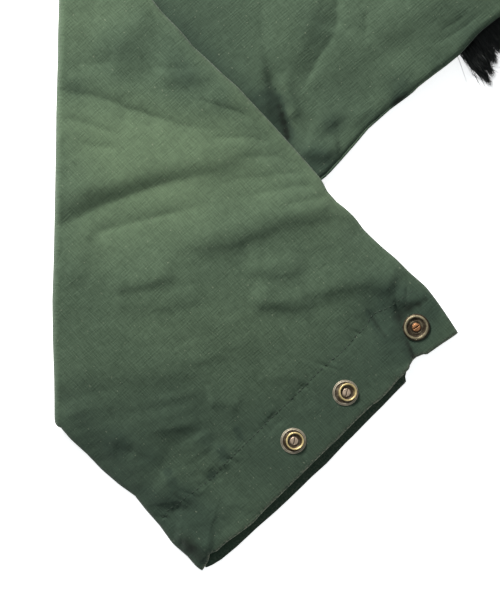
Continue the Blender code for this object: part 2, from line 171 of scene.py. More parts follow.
def undulation(x, y, seed, size=1.0):
    """Soft unevenness of cloth that lies loose, in millimetres, with fine streaks across the arm."""
    a = 0.6
    xr, yr = x * math.cos(a) - y * math.sin(a), x * math.sin(a) + y * math.cos(a)
    b = 0.24
    along, across = x * math.cos(b) + y * math.sin(b), y * math.cos(b) - x * math.sin(b)
    some = smooth(0.5 + 1.2 * value_noise(x / 38.0, y / 30.0, seed + 6))
    return size * (0.52 * value_noise(xr / 46.0, yr / 34.0, seed)
                   + 0.22 * value_noise(x / 21.0, y / 17.0, seed + 1)
                   + 0.07 * value_noise(xr / 9.0, yr / 8.0, seed + 2)
                   + 0.02 * value_noise(x / 4.1, y / 3.7, seed + 3)
                   + 0.11 * some * value_noise(along / 22.0, across / 3.6, seed + 4))


# ------------------------------------------------------------------ creases
# Each crease: kind, half width (mm), height (mm), fade at its start and end (share of its length), its line.
#   ridge and valley are soft rolls; crease is a sharp line between soft slopes;
#   fold is a sharp-bottomed trough, its half widths to the left and right of the way the line runs;
#   lap falls off on the right of its line, within its first width, and slopes up again over its second;
#   step is a lap of one width.
def creases(x, y, table, place=None):
    z = np.zeros(np.shape(x))
    for kind, width, height, start, end, line in table:
        pts = [place(p) if place else p for p in line]
        wide = max(width) * 5 if kind in ("fold", "lap") else width * (22 if kind == "step" else 5)
        lo, hi = np.min(pts, axis=0) - wide, np.max(pts, axis=0) + wide
        box = (x > lo[0]) & (x < hi[0]) & (y > lo[1]) & (y < hi[1])
        if not box.any():
            continue
        d, share, side = line_project(x[box], y[box], pts)
        fade = smooth(share / max(start, 1e-3)) * smooth((1 - share) / max(end, 1e-3))
        if kind == "ridge":
            h = height * np.exp(-(d / width) ** 2)
        elif kind == "valley":
            h = -height * np.exp(-(d / width) ** 2)
        elif kind == "fold":
            w = np.where(side > 0, width[0], width[1])
            h = -height * np.exp(-(np.sqrt(d * d + 0.12) - 0.34) / w)
        elif kind == "lap":
            s = d * side
            h = height * (0.5 + 0.5 * np.tanh(s / width[0])) * np.exp(-np.maximum(s, 0) / width[1])
        elif kind == "crease":
            h = -height * np.exp(-np.sqrt(d * d + 0.16) / width)
        else:
            h = height * (0.5 + 0.5 * np.tanh(d * side / width)) * np.exp(-np.maximum(d * side, 0) / (width * 5))
            h -= 0.25 * height * np.exp(-((d * side + width) / (width * 1.2)) ** 2)
        z[box] += h * fade
    return z


# forearm face, in pixels of the reference view
FORE_CREASES = (
    # the sharp folds that fan out from the elbow
    ("fold", (3.4, 16.0), 1.6, 0.01, 0.6, ((53, 89), (61, 91.5), (73, 94), (95, 97.5), (112, 103), (130, 110), (155, 118), (185, 127), (215, 131), (258, 138))),
    ("lap", (4.2, 30.0), 2.4, 0.01, 0.4, ((53, 216), (61, 213), (84, 204), (103, 196), (129, 187), (152, 179), (180, 173), (213, 168), (245, 162), (275, 158))),
    ("fold", (3.5, 7.0), 0.9, 0.01, 0.4, ((53, 230), (62, 226), (84, 215), (105, 206), (129, 197), (160, 186), (194, 178), (235, 172))),
    ("lap", (3.0, 8.0), 0.7, 0.02, 0.4, ((55, 199), (75, 196), (96, 190), (120, 182))),
    ("lap", (3.0, 8.0), 0.7, 0.3, 0.3, ((192, 157), (215, 150), (240, 146), (264, 144))),
    ("ridge", 5.0, 0.4, 0.3, 0.3, ((212, 160), (238, 155), (262, 150))),
    ("crease", 1.0, 0.3, 0.2, 0.3, ((64, 163), (74, 165), (82, 170))),
    ("ridge", 3.0, 0.35, 0.1, 0.4, ((58, 168), (72, 164), (84, 158))),
    ("fold", (3.0, 4.0), 0.8, 0.1, 0.4, ((90, 236), (105, 231), (130, 224), (160, 217), (190, 210), (215, 204))),
    ("fold", (2.0, 2.0), 0.5, 0.15, 0.4, ((89, 236), (93, 244), (99, 258), (108, 277))),
    ("lap", (4.0, 10.0), 0.8, 0.1, 0.4, ((57, 272), (74, 277), (92, 279))),
    ("lap", (3.6, 11.0), 2.3, 0.2, 0.3, ((108, 291), (122, 289), (140, 287), (160, 282), (184, 276))),
    ("ridge", 5.0, 0.5, 0.2, 0.3, ((112, 302), (135, 302), (160, 298))),
    ("lap", (4.5, 12.0), 1.1, 0.3, 0.3, ((140, 309), (165, 308), (190, 302), (210, 297))),
    ("lap", (5.6, 17.0), 3.8, 0.25, 0.25, ((160, 250), (185, 248), (210, 247), (236, 243), (258, 233), (282, 223), (308, 218), (340, 214), (370, 216))),
    ("lap", (4.0, 11.0), 2.1, 0.25, 0.3, ((240, 271), (262, 274), (285, 274), (310, 268))),
    ("lap", (5.0, 12.0), 2.6, 0.25, 0.3, ((245, 300), (268, 306), (292, 308), (322, 302))),
    ("valley", 5.0, 0.5, 0.25, 0.3, ((252, 306), (282, 312), (310, 310))),
    ("lap", (4.6, 13.0), 2.4, 0.25, 0.15, ((306, 300), (325, 294), (345, 288), (366, 285), (384, 287), (396, 294))),
    ("lap", (5.0, 12.0), 1.0, 0.3, 0.3, ((370, 290), (388, 296), (404, 305), (422, 312), (440, 318))),
    ("lap", (2.6, 7.0), 0.5, 0.3, 0.3, ((392, 292), (403, 301), (414, 305), (430, 303), (440, 303))),
    ("crease", 1.0, 0.6, 0.2, 0.3, ((426, 293), (427, 300), (419, 305), (409, 308))),
    ("fold", (3.4, 2.4), 0.8, 0.45, 0.3, ((364, 299), (371, 313), (378, 325), (387, 338))),
    ("fold", (7.0, 2.6), 2.0, 0.3, 0.01, ((394, 298), (398, 310), (404, 328), (410, 345), (417, 362))),
    # fine ones that run to the corner under the arm
    ("fold", (1.6, 2.4), 0.5, 0.3, 0.25, ((186, 98), (210, 104), (236, 112), (258, 121))),
    ("fold", (1.6, 2.6), 0.45, 0.3, 0.2, ((198, 142), (224, 139), (250, 138), (276, 145))),
    ("fold", (2.0, 3.0), 0.5, 0.3, 0.2, ((228, 162), (252, 157), (276, 157), (300, 166))),
    ("fold", (1.6, 2.6), 0.4, 0.3, 0.2, ((206, 187), (240, 180), (276, 174), (312, 174))),
    ("fold", (1.8, 3.0), 0.45, 0.3, 0.2, ((228, 203), (262, 195), (294, 187), (322, 186))),
    ("fold", (1.8, 2.6), 0.4, 0.3, 0.2, ((280, 208), (304, 201), (330, 197))),
    ("fold", (1.6, 2.4), 0.5, 0.2, 0.3, ((58, 118), (78, 122), (104, 130), (130, 140))),
    ("fold", (1.5, 2.2), 0.4, 0.3, 0.3, ((74, 142), (98, 148), (122, 150))),
    ("fold", (1.6, 2.4), 0.45, 0.3, 0.3, ((150, 66), (172, 70), (196, 70))),
    ("fold", (1.6, 2.2), 0.4, 0.3, 0.3, ((70, 64), (92, 66), (116, 62))),
    # above the elbow's folds
    ("lap", (5.0, 10.0), 0.8, 0.4, 0.4, ((86, 62), (98, 58), (112, 54), (126, 46), (142, 38))),
    ("lap", (5.0, 12.0), 0.8, 0.4, 0.4, ((150, 84), (170, 81), (190, 76), (207, 71))),
    ("lap", (4.0, 8.0), 0.6, 0.4, 0.4, ((202, 105), (218, 102), (238, 98))),
    ("lap", (5.0, 14.0), 0.8, 0.25, 0.3, ((92, 56), (110, 55), (135, 58), (162, 52))),
    ("lap", (3.5, 10.0), 0.7, 0.25, 0.3, ((108, 72), (128, 72), (150, 68))),
    ("lap", (5.0, 14.0), 1.5, 0.25, 0.3, ((150, 78), (178, 82), (200, 80), (222, 76))),
    ("lap", (3.0, 8.0), 0.5, 0.3, 0.3, ((112, 31), (134, 30), (156, 26))),
    ("lap", (4.0, 12.0), 1.0, 0.3, 0.3, ((180, 106), (205, 108), (230, 108), (252, 112))),
    ("ridge", 7.0, 0.7, 0.3, 0.3, ((84, 40), (115, 38), (150, 34))),
    ("fold", (5.0, 6.0), 0.5, 0.3, 0.3, ((110, 118), (135, 124), (165, 133))),
    # towards the cuff
    ("lap", (6.0, 26.0), 1.6, 0.2, 0.25, ((55, 388), (90, 382), (125, 378), (160, 376), (195, 372), (225, 378))),
    ("lap", (5.0, 14.0), 0.8, 0.2, 0.3, ((60, 408), (100, 408), (140, 404), (180, 398), (212, 392))),
    ("ridge", 8.0, 0.6, 0.3, 0.3, ((120, 428), (150, 424), (190, 416))),
    ("lap", (3.4, 9.0), 1.5, 0.3, 0.3, ((148, 434), (160, 431), (174, 428), (190, 427), (202, 428))),
    ("lap", (2.2, 7.0), 1.0, 0.3, 0.3, ((215, 450), (209, 440), (202, 429))),
    ("lap", (2.2, 7.0), 1.0, 0.3, 0.3, ((230, 470), (225, 457), (219, 441))),
    ("lap", (2.6, 7.0), 1.0, 0.25, 0.3, ((206, 405), (218, 404), (230, 407), (242, 412))),
    ("lap", (1.8, 5.0), 0.6, 0.3, 0.3, ((240, 462), (235, 453), (229, 443))),
    ("lap", (1.8, 5.0), 0.5, 0.3, 0.3, ((208, 496), (205, 486), (199, 474))),
    ("fold", (1.8, 2.4), 0.35, 0.25, 0.25, ((210, 466), (216, 474), (219, 484))),
    ("fold", (1.8, 2.2), 0.4, 0.25, 0.25, ((262, 420), (268, 428), (275, 433))),
    ("fold", (1.8, 2.4), 0.5, 0.25, 0.25, ((270, 412), (277, 419), (281, 427))),
    ("fold", (1.8, 2.2), 0.35, 0.25, 0.25, ((292, 396), (297, 404), (300, 412))),
    ("lap", (3.2, 9.0), 1.2, 0.25, 0.25, ((106, 440), (120, 440), (134, 445), (148, 455), (162, 467))),
    ("lap", (3.0, 9.0), 1.6, 0.25, 0.3, ((186, 512), (186, 500), (182, 488), (174, 477), (163, 467))),
    ("fold", (2.4, 3.4), 0.5, 0.3, 0.3, ((112, 449), (124, 450), (136, 455))),
    ("lap", (3.4, 8.0), 0.75, 0.3, 0.3, ((124, 484), (142, 488), (156, 498), (166, 510))),
    ("fold", (2.0, 2.8), 0.45, 0.3, 0.3, ((168, 516), (176, 510), (184, 503))),
    ("fold", (2.4, 3.4), 0.5, 0.3, 0.3, ((150, 516), (158, 522), (166, 532))),
    ("lap", (2.8, 7.0), 2.0, 0.2, 0.2, ((172, 541), (182, 542), (193, 545), (204, 551), (214, 552))),
    ("lap", (2.6, 6.0), 1.4, 0.2, 0.2, ((180, 551), (189, 552), (197, 557), (203, 565))),
    ("lap", (2.0, 5.0), 0.6, 0.25, 0.3, ((224, 507), (236, 505), (246, 509), (256, 517))),
    ("fold", (1.8, 2.4), 0.35, 0.25, 0.25, ((214, 516), (224, 521), (232, 530))),
    ("lap", (2.0, 6.0), 0.5, 0.3, 0.3, ((262, 384), (282, 379), (304, 380))),
    ("fold", (2.0, 2.0), 0.6, 0.3, 0.3, ((298, 382), (306, 394), (312, 410))),
    ("lap", (6.0, 20.0), 0.7, 0.3, 0.3, ((140, 344), (185, 338), (230, 330), (266, 326))),
    ("lap", (5.0, 16.0), 0.6, 0.3, 0.3, ((210, 362), (250, 352), (292, 346))),
    ("lap", (5.0, 16.0), 0.7, 0.3, 0.3, ((330, 254), (352, 252), (380, 258))),
)
# upper arm face, in the same pixels
ARM_CREASES = (
    # a Y of folds that runs under the forearm
    ("fold", (3.0, 1.6), 0.45, 0.3, 0.3, ((263.5, -60), (262.5, -20), (262.5, 20), (264, 50), (266, 74))),
    ("lap", (2.2, 12.0), 1.5, 0.02, 0.35, ((275, 165), (272, 140), (270, 120), (268, 100), (266, 80), (264, 58), (263, 36))),
    ("valley", 3.2, 1.8, 0.4, 0.02, ((264, 46), (267, 64), (272, 80), (279, 95), (284, 109), (288, 125), (292, 142), (298, 165))),
    ("ridge", 3.2, 1.15, 0.3, 0.3, ((279, 70), (286, 88), (292, 106), (296, 126))),
    ("fold", (2.4, 8.0), 1.9, 0.25, 0.12, ((339, -70), (339, -30), (338.5, 0), (338, 22), (336, 36))),
    ("lap", (4.0, 14.0), 1.1, 0.3, 0.3, ((292, 92), (298, 72), (306, 48), (315, 22), (322, -10), (326, -50))),
    ("fold", (2.4, 6.0), 1.0, 0.1, 0.35, ((337, 30), (328, 44), (317, 60), (307, 80), (300, 96))),
    ("lap", (4.0, 10.0), 1.9, 0.3, 0.3, ((312, 136), (326, 128), (338, 118), (346, 104))),
    ("lap", (3.0, 8.0), 2.0, 0.2, 0.1, ((300, 150), (312, 154), (326, 157), (342, 154))),
    ("fold", (1.2, 1.6), 0.6, 0.2, 0.2, ((366, 10), (367, 26), (366.5, 45))),
    ("fold", (3.0, 2.0), 0.4, 0.2, 0.2, ((341, 31), (354, 30), (368, 31))),
    ("fold", (3.0, 2.0), 0.5, 0.3, 0.3, ((432, 45), (448, 38), (464, 28), (484, 12))),
    ("fold", (2.4, 1.6), 0.4, 0.3, 0.3, ((436, 33), (452, 26), (470, 12))),
    ("valley", 8.0, 0.6, 0.3, 0.3, ((380, 60), (400, 48), (420, 40))),
    ("ridge", 7.0, 0.5, 0.3, 0.3, ((370, 84), (395, 70), (420, 56))),
    ("lap", (3.0, 9.0), 1.2, 0.2, 0.3, ((376, 112), (392, 102), (406, 90), (420, 77))),
    ("lap", (2.5, 7.0), 0.8, 0.2, 0.3, ((352, 128), (364, 118), (374, 104))),
    ("valley", 9.0, 0.9, 0.3, 0.3, ((420, -40), (450, -90), (500, -150))),
    ("ridge", 11.0, 1.0, 0.3, 0.3, ((400, -70), (430, -130), (490, -200))),
    ("step", 3.5, 1.2, 0.3, 0.3, ((545, -240), (540, -170), (560, -110))),
    ("valley", 10.0, 1.0, 0.3, 0.3, ((600, -200), (570, -280), (560, -360))),
    ("step", 4.0, 1.4, 0.3, 0.3, ((620, -330), (600, -400), (610, -480))),
    ("ridge", 10.0, 1.2, 0.3, 0.3, ((500, -300), (520, -380), (560, -450))),
    ("valley", 9.0, 1.0, 0.3, 0.3, ((330, -160), (380, -210), (450, -300))),
    ("crease", 2.0, 0.6, 0.3, 0.3, ((590, -90), (560, -60), (520, -40))),
)
# body, on the plan in millimetres: both fronts and the back
BODY_CREASES = (
    ("lap", (7.0, 34.0), 3.0, 0.05, 0.35, ((-299, 152), (-262, 122), (-222, 104), (-176, 96), (-130, 101))),
    ("fold", (4.6, 20.0), 2.0, 0.05, 0.35, ((-299, 112), (-258, 80), (-210, 62), (-160, 58), (-124, 64))),
    ("lap", (8.0, 40.0), 2.6, 0.1, 0.35, ((-304, 22), (-250, 4), (-190, -3), (-130, 8), (-84, 24))),
    ("fold", (4.4, 12.0), 1.5, 0.1, 0.3, ((-300, -22), (-250, -34), (-196, -36), (-140, -28))),
    ("fold", (5.0, 11.0), 1.6, 0.3, 0.3, ((-58, 300), (-70, 240), (-64, 170), (-56, 110))),
    ("fold", (4.0, 9.0), 1.3, 0.3, 0.3, ((-50, 60), (-60, 10), (-54, -40), (-44, -90))),
    ("lap", (6.0, 24.0), 2.2, 0.25, 0.3, ((-236, 334), (-196, 322), (-150, 326), (-104, 342))),
    ("fold", (4.0, 14.0), 1.5, 0.25, 0.3, ((-222, 268), (-180, 276), (-132, 270), (-92, 256))),
    ("fold", (4.0, 9.0), 1.4, 0.3, 0.3, ((-146, 436), (-154, 386), (-146, 336))),
    ("lap", (5.0, 18.0), 1.8, 0.3, 0.3, ((-208, 204), (-160, 214), (-108, 206), (-66, 190))),
    ("fold", (3.4, 8.0), 1.1, 0.2, 0.3, ((-272, -96), (-279, -150), (-272, -210))),
    ("lap", (3.6, 12.0), 1.2, 0.3, 0.3, ((-118, 150), (-92, 142), (-62, 146))),
    ("fold", (3.0, 6.0), 0.9, 0.3, 0.3, ((-252, 196), (-226, 180), (-204, 174))),
    ("lap", (4.0, 14.0), 1.3, 0.3, 0.3, ((-86, 400), (-70, 372), (-62, 340))),
    ("fold", (3.4, 8.0), 1.0, 0.3, 0.2, ((-200, -250), (-196, -262), (-190, -277))),
    ("fold", (3.0, 7.0), 0.9, 0.3, 0.2, ((-110, -246), (-114, -262), (-108, -277))),
    ("step", 4.0, 1.7, 0.15, 0.3, ((-286, 168), (-245, 120), (-205, 85), (-150, 60))),
    ("valley", 10.0, 1.5, 0.1, 0.35, ((-290, 190), (-240, 160), (-190, 150), (-140, 155))),
    ("crease", 2.2, 0.7, 0.1, 0.4, ((-292, 182), (-250, 148), (-205, 130))),
    ("ridge", 12.0, 1.4, 0.2, 0.3, ((-270, 230), (-225, 200), (-175, 190))),
    ("valley", 11.0, 1.3, 0.3, 0.3, ((-215, 440), (-190, 370), (-185, 300))),
    ("step", 4.0, 1.2, 0.3, 0.3, ((-120, 470), (-110, 400), (-125, 330), (-120, 270))),
    ("ridge", 10.0, 1.0, 0.3, 0.3, ((-70, 380), (-78, 310), (-70, 240))),
    ("valley", 12.0, 1.2, 0.3, 0.3, ((-60, 200), (-75, 130), (-68, 50), (-60, 0))),
    ("step", 5.0, 1.6, 0.3, 0.3, ((-295, 40), (-240, 22), (-180, 24), (-120, 10))),
    ("crease", 2.4, 0.6, 0.2, 0.4, ((-296, 32), (-240, 14), (-185, 16))),
    ("ridge", 12.0, 1.2, 0.3, 0.3, ((-290, -20), (-230, -34), (-180, -30))),
    ("valley", 9.0, 1.0, 0.3, 0.3, ((-262, -60), (-268, -140), (-258, -230))),
    ("step", 4.0, 1.0, 0.3, 0.3, ((-280, -240), (-276, -170), (-285, -110))),
    ("valley", 9.0, 1.1, 0.3, 0.2, ((-52, -60), (-56, -140), (-48, -262))),
    ("ridge", 9.0, 0.9, 0.3, 0.3, ((-150, -40), (-165, 10), (-160, 70))),
    ("valley", 7.0, 0.9, 0.3, 0.3, ((-160, 262), (-200, 240), (-250, 250))),
)


# ------------------------------------------------------------------ levels, millimetres above the table
def lift(x, y):
    ring = list(HOOD_OUTLINE)
    off = np.where(inside(x, y, ring), 0.0, line_distance(x, y, ring + ring[:1]))
    hood = 3.2 * smooth(1.0 - off / 60.0)
    dx, dy = x - RUFF_START[0], y - RUFF_START[1]
    a = dx * RUFF_ALONG[0] + dy * RUFF_ALONG[1]
    b = dx * RUFF_ACROSS[0] + dy * RUFF_ACROSS[1]
    past = np.maximum(0.0, np.maximum(-a, a - RUFF_ROWS[-1][0] - 4.0))
    side = smooth((b + 38.0) / 38.0) * smooth((84.0 - b) / 56.0)
    return np.hypot(hood, 7.2 * side * smooth(1.0 - past / 45.0))


UNDER_MM = [px(p) for p in UNDER_EDGE]
OVER_MM = [px(p) for p in OVER_EDGE]
ARM_MM = [px(p) for p in ARM_LOWER]
CLOSED = (((-HALF_HEM, HEM_Y), *ARM_MM[::-1]), (FOLD_HIGH, SHOULDER, NECK, COLLAR_TOP))


def edge_way(x, y):
    return np.minimum(*[line_distance(-np.abs(x), y, line) for line in CLOSED])


def puff(way, more=4.6):
    """Space between the two cloths of a tube that lies flat: a pressed edge, then a low crown."""
    w = 1.0 - (1.0 - np.clip(way / 2.6, 0.0, 1.0)) ** 2
    return 0.25 + 1.35 * (0.3 * np.sqrt(w) + 0.7 * w) + more * smooth(way / 64.0)


def back_level(x, y):
    return lift(x, y) + 0.6


def front_level(x, y):
    return back_level(x, y) + puff(edge_way(x, y))


def arm_side(x, y):
    """Distance past the lower edge of the upper arm, positive outside it."""
    ax, ay = FOLD_LOW[0] - PIT[0], FOLD_LOW[1] - PIT[1]
    return -((x - PIT[0]) * ay - (y - PIT[1]) * ax) / math.hypot(ax, ay)


def fore_low_level(x, y, side):
    on_arm = front_level(-side * x, y) + WALL + 0.9
    on_arm = np.maximum(on_arm, 5.2)
    return on_arm + (0.6 - on_arm) * smooth((arm_side(x, y) - 3.0) / 34.0)


def fore_high_level(x, y, side):
    """Upper cloth of the forearm: the lower one's level, smoothed over the arm's edge, and the space in the tube."""
    on_arm = 8.6 + 0.0 * x
    base = on_arm + (1.4 - on_arm) * smooth((arm_side(x, y) + 12.0) / 105.0)
    way = np.minimum(line_distance(x, y, UNDER_MM), line_distance(x, y, OVER_MM))
    near = smooth(way / 16.0)
    low = fore_low_level(x, y, side)
    level = low + (np.maximum(base, low) - low) * near
    return level + puff(way, 4.2)


# ------------------------------------------------------------------ meshes
def metres(v):
    v = np.array(v, float) * 0.001
    v[..., 1] -= CENTRE_Y * 0.001
    return v


def mesh_object(name, verts, faces, mats, uv=None, attrs=None, flat=False, slots=None):
    """verts in plan millimetres; faces an (n, 3) or (n, 4) array, or a list of such arrays."""
    faces = faces if isinstance(faces, list) else [faces]
    loops = np.concatenate([f.reshape(-1) for f in faces]).astype(np.int32)
    totals = np.concatenate([np.full(len(f), f.shape[1], np.int32) for f in faces])
    starts = np.concatenate([[0], np.cumsum(totals)[:-1]]).astype(np.int32)
    me = bpy.data.meshes.new(name)
    me.vertices.add(len(verts))
    me.vertices.foreach_set("co", metres(verts).astype(np.float32).reshape(-1))
    me.loops.add(len(loops))
    me.loops.foreach_set("vertex_index", loops)
    me.polygons.add(len(totals))
    me.polygons.foreach_set("loop_start", starts)
    me.polygons.foreach_set("use_smooth", np.full(len(totals), not flat))
    for m in mats if isinstance(mats, (list, tuple)) else [mats]:
        me.materials.append(m)
    if slots is not None:
        me.polygons.foreach_set("material_index", np.asarray(slots, np.int32))
    me.update(calc_edges=True)
    if uv is not None:
        layer = me.uv_layers.new(name="weave")
        layer.data.foreach_set("uv", np.asarray(uv, np.float32)[loops].reshape(-1))
    for key, values in (attrs or {}).items():
        at = me.attributes.new(key, "FLOAT", "POINT")
        at.data.foreach_set("value", np.asarray(values, np.float32).reshape(-1))
    me.validate()
    ob = bpy.data.objects.new(name, me)
    bpy.context.scene.collection.objects.link(ob)
    return ob


def grid_faces(rows, columns, flip=False):
    i = np.arange(rows * columns).reshape(rows, columns)
    f = np.stack([i[:-1, :-1], i[:-1, 1:], i[1:, 1:], i[1:, :-1]], -1).reshape(-1, 4)
    return f[:, ::-1].copy() if flip else f


def sheet_object(name, grid, mats, uv, attrs=None, flip=False, wall=WALL, mirror=False, coarse=3):
    """A wall of cloth about a grid (rows, columns, 3), closed all round; its outer face is the side of its
    normals, and its inner face has one line of the grid in two or three."""
    g = np.array(grid, float)
    if mirror:
        g[..., 0] *= -1
        flip = not flip
    rows, columns = g.shape[:2]
    nrm = np.cross(np.gradient(g, axis=1), np.gradient(g, axis=0))
    size = np.linalg.norm(nrm, axis=2, keepdims=True)
    nrm = np.where(size > 1e-6, nrm / np.maximum(size, 1e-6), (0.0, 0.0, 1.0)) * (-1 if flip else 1)
    ri = np.unique(np.append(np.arange(0, rows, coarse), rows - 1))
    ci = np.unique(np.append(np.arange(0, columns, coarse), columns - 1))
    outer = (g + nrm * wall / 2).reshape(-1, 3)
    inner = (g - nrm * wall / 2)[np.ix_(ri, ci)].reshape(-1, 3)
    base = rows * columns
    out_id = np.arange(base).reshape(rows, columns)
    in_id = base + np.arange(len(ri) * len(ci)).reshape(len(ri), len(ci))
    top = grid_faces(rows, columns, flip)
    low = grid_faces(len(ri), len(ci), not flip) + base
    rim = []
    for line, far, at, turn in ((out_id[0], in_id[0], ci, False), (out_id[-1], in_id[-1], ci, True),
                                (out_id[:, 0], in_id[:, 0], ri, True), (out_id[:, -1], in_id[:, -1], ri, False)):
        for k in range(len(at) - 1):
            a, b = at[k], at[k + 1]
            tris = [(far[k], line[q + 1], line[q]) for q in range(a, b)] + [(far[k], far[k + 1], line[b])]
            rim += [t[::-1] for t in tris] if turn != flip else tris
    rim = np.array(rim)
    pick = np.concatenate([out_id.reshape(-1), out_id[np.ix_(ri, ci)].reshape(-1)])
    slots = np.concatenate([np.zeros(len(top)), np.full(len(low), 1 if len(mats) > 1 else 0), np.zeros(len(rim))])
    attrs = {k: np.asarray(v).reshape(-1)[pick] for k, v in (attrs or {}).items()}
    return mesh_object(name, np.concatenate([outer, inner]), [top, low, rim], mats,
                       np.asarray(uv).reshape(-1, 2)[pick], attrs, slots=slots)


def tree_of(ob):
    me = ob.data
    v = np.empty(len(me.vertices) * 3, np.float32)
    me.vertices.foreach_get("co", v)
    me.calc_loop_triangles()
    t = np.empty(len(me.loop_triangles) * 3, np.int32)
    me.loop_triangles.foreach_get("vertices", t)
    return BVHTree.FromPolygons(v.reshape(-1, 3).astype(float).tolist(), t.reshape(-1, 3).tolist())


def drop(tree, x, y):
    """Point and normal of a cloth's outer face under a plan point, in metres."""
    hit, normal, _, _ = tree.ray_cast(Vector((x * 0.001, (y - CENTRE_Y) * 0.001, 0.2)), Vector((0, 0, -1)))
    if hit is None:
        return None, None
    return hit, (normal if normal.z > 0 else -normal)


# ------------------------------------------------------------------ materials
class Nodes:
    """A few words for writing a shader."""

    def __init__(self, name):
        self.mat = bpy.data.materials.new(name)
        self.mat.use_nodes = True
        self.tree = self.mat.node_tree
        self.tree.nodes.clear()
        self.out = self.tree.nodes.new("ShaderNodeOutputMaterial")
        self.shader = self.tree.nodes.new("ShaderNodeBsdfPrincipled")
        self.link(self.shader.outputs[0], self.out.inputs[0])

    def link(self, a, b):
        self.tree.links.new(a, b)

    def put(self, socket, value):
        if isinstance(value, bpy.types.NodeSocket):
            self.link(value, socket)
        else:
            socket.default_value = value

    def maths(self, op, a, b=None, c=None, clamp=False):
        n = self.tree.nodes.new("ShaderNodeMath")
        n.operation = op
        n.use_clamp = clamp
        for s, v in zip(n.inputs, (a, b, c)):
            if v is not None:
                self.put(s, v)
        return n.outputs[0]

    def scaled(self, vector, scale):
        n = self.tree.nodes.new("ShaderNodeMapping")
        self.link(vector, n.inputs["Vector"])
        n.inputs["Scale"].default_value = scale
        return n.outputs[0]

    def uv(self):
        n = self.tree.nodes.new("ShaderNodeUVMap")
        n.uv_map = "weave"
        return n.outputs[0]

    def object(self):
        return self.tree.nodes.new("ShaderNodeTexCoord").outputs["Object"]

    def attribute(self, name):
        n = self.tree.nodes.new("ShaderNodeAttribute")
        n.attribute_name = name
        return n.outputs["Fac"]

    def noise(self, vector, scale=1.0, detail=2.0, rough=0.5, dims="3D", distort=0.0):
        n = self.tree.nodes.new("ShaderNodeTexNoise")
        n.noise_dimensions = dims
        self.link(vector, n.inputs["Vector"])
        n.inputs["Scale"].default_value = scale
        n.inputs["Detail"].default_value = detail
        n.inputs["Roughness"].default_value = rough
        n.inputs["Distortion"].default_value = distort
        return n.outputs["Fac"]

    def ribs(self, vector, way, pitch, stray):
        """Parallel ribs across one direction of the weave, a pitch apart in metres."""
        n = self.tree.nodes.new("ShaderNodeTexWave")
        n.wave_type = "BANDS"
        n.bands_direction = way
        self.link(vector, n.inputs["Vector"])
        n.inputs["Scale"].default_value = math.pi / (10.0 * pitch)
        n.inputs["Distortion"].default_value = stray
        n.inputs["Detail"].default_value = 2.0
        n.inputs["Detail Scale"].default_value = 0.35
        n.inputs["Detail Roughness"].default_value = 0.6
        return n.outputs["Fac"]

    def span(self, value, a, b, c=0.0, d=1.0):
        n = self.tree.nodes.new("ShaderNodeMapRange")
        self.put(n.inputs["Value"], value)
        for key, v in zip(("From Min", "From Max", "To Min", "To Max"), (a, b, c, d)):
            n.inputs[key].default_value = v
        return n.outputs["Result"]

    def mix(self, fac, a, b, blend="MIX"):
        n = self.tree.nodes.new("ShaderNodeMix")
        n.data_type = "RGBA"
        n.blend_type = blend
        self.put(n.inputs[0], fac)
        self.put(n.inputs[6], a)
        self.put(n.inputs[7], b)
        return n.outputs[2]

    def bump(self, height, strength, distance, normal=None):
        n = self.tree.nodes.new("ShaderNodeBump")
        n.inputs["Strength"].default_value = strength
        n.inputs["Distance"].default_value = distance
        self.link(height, n.inputs["Height"])
        if normal is not None:
            self.link(normal, n.inputs["Normal"])
        return n.outputs[0]


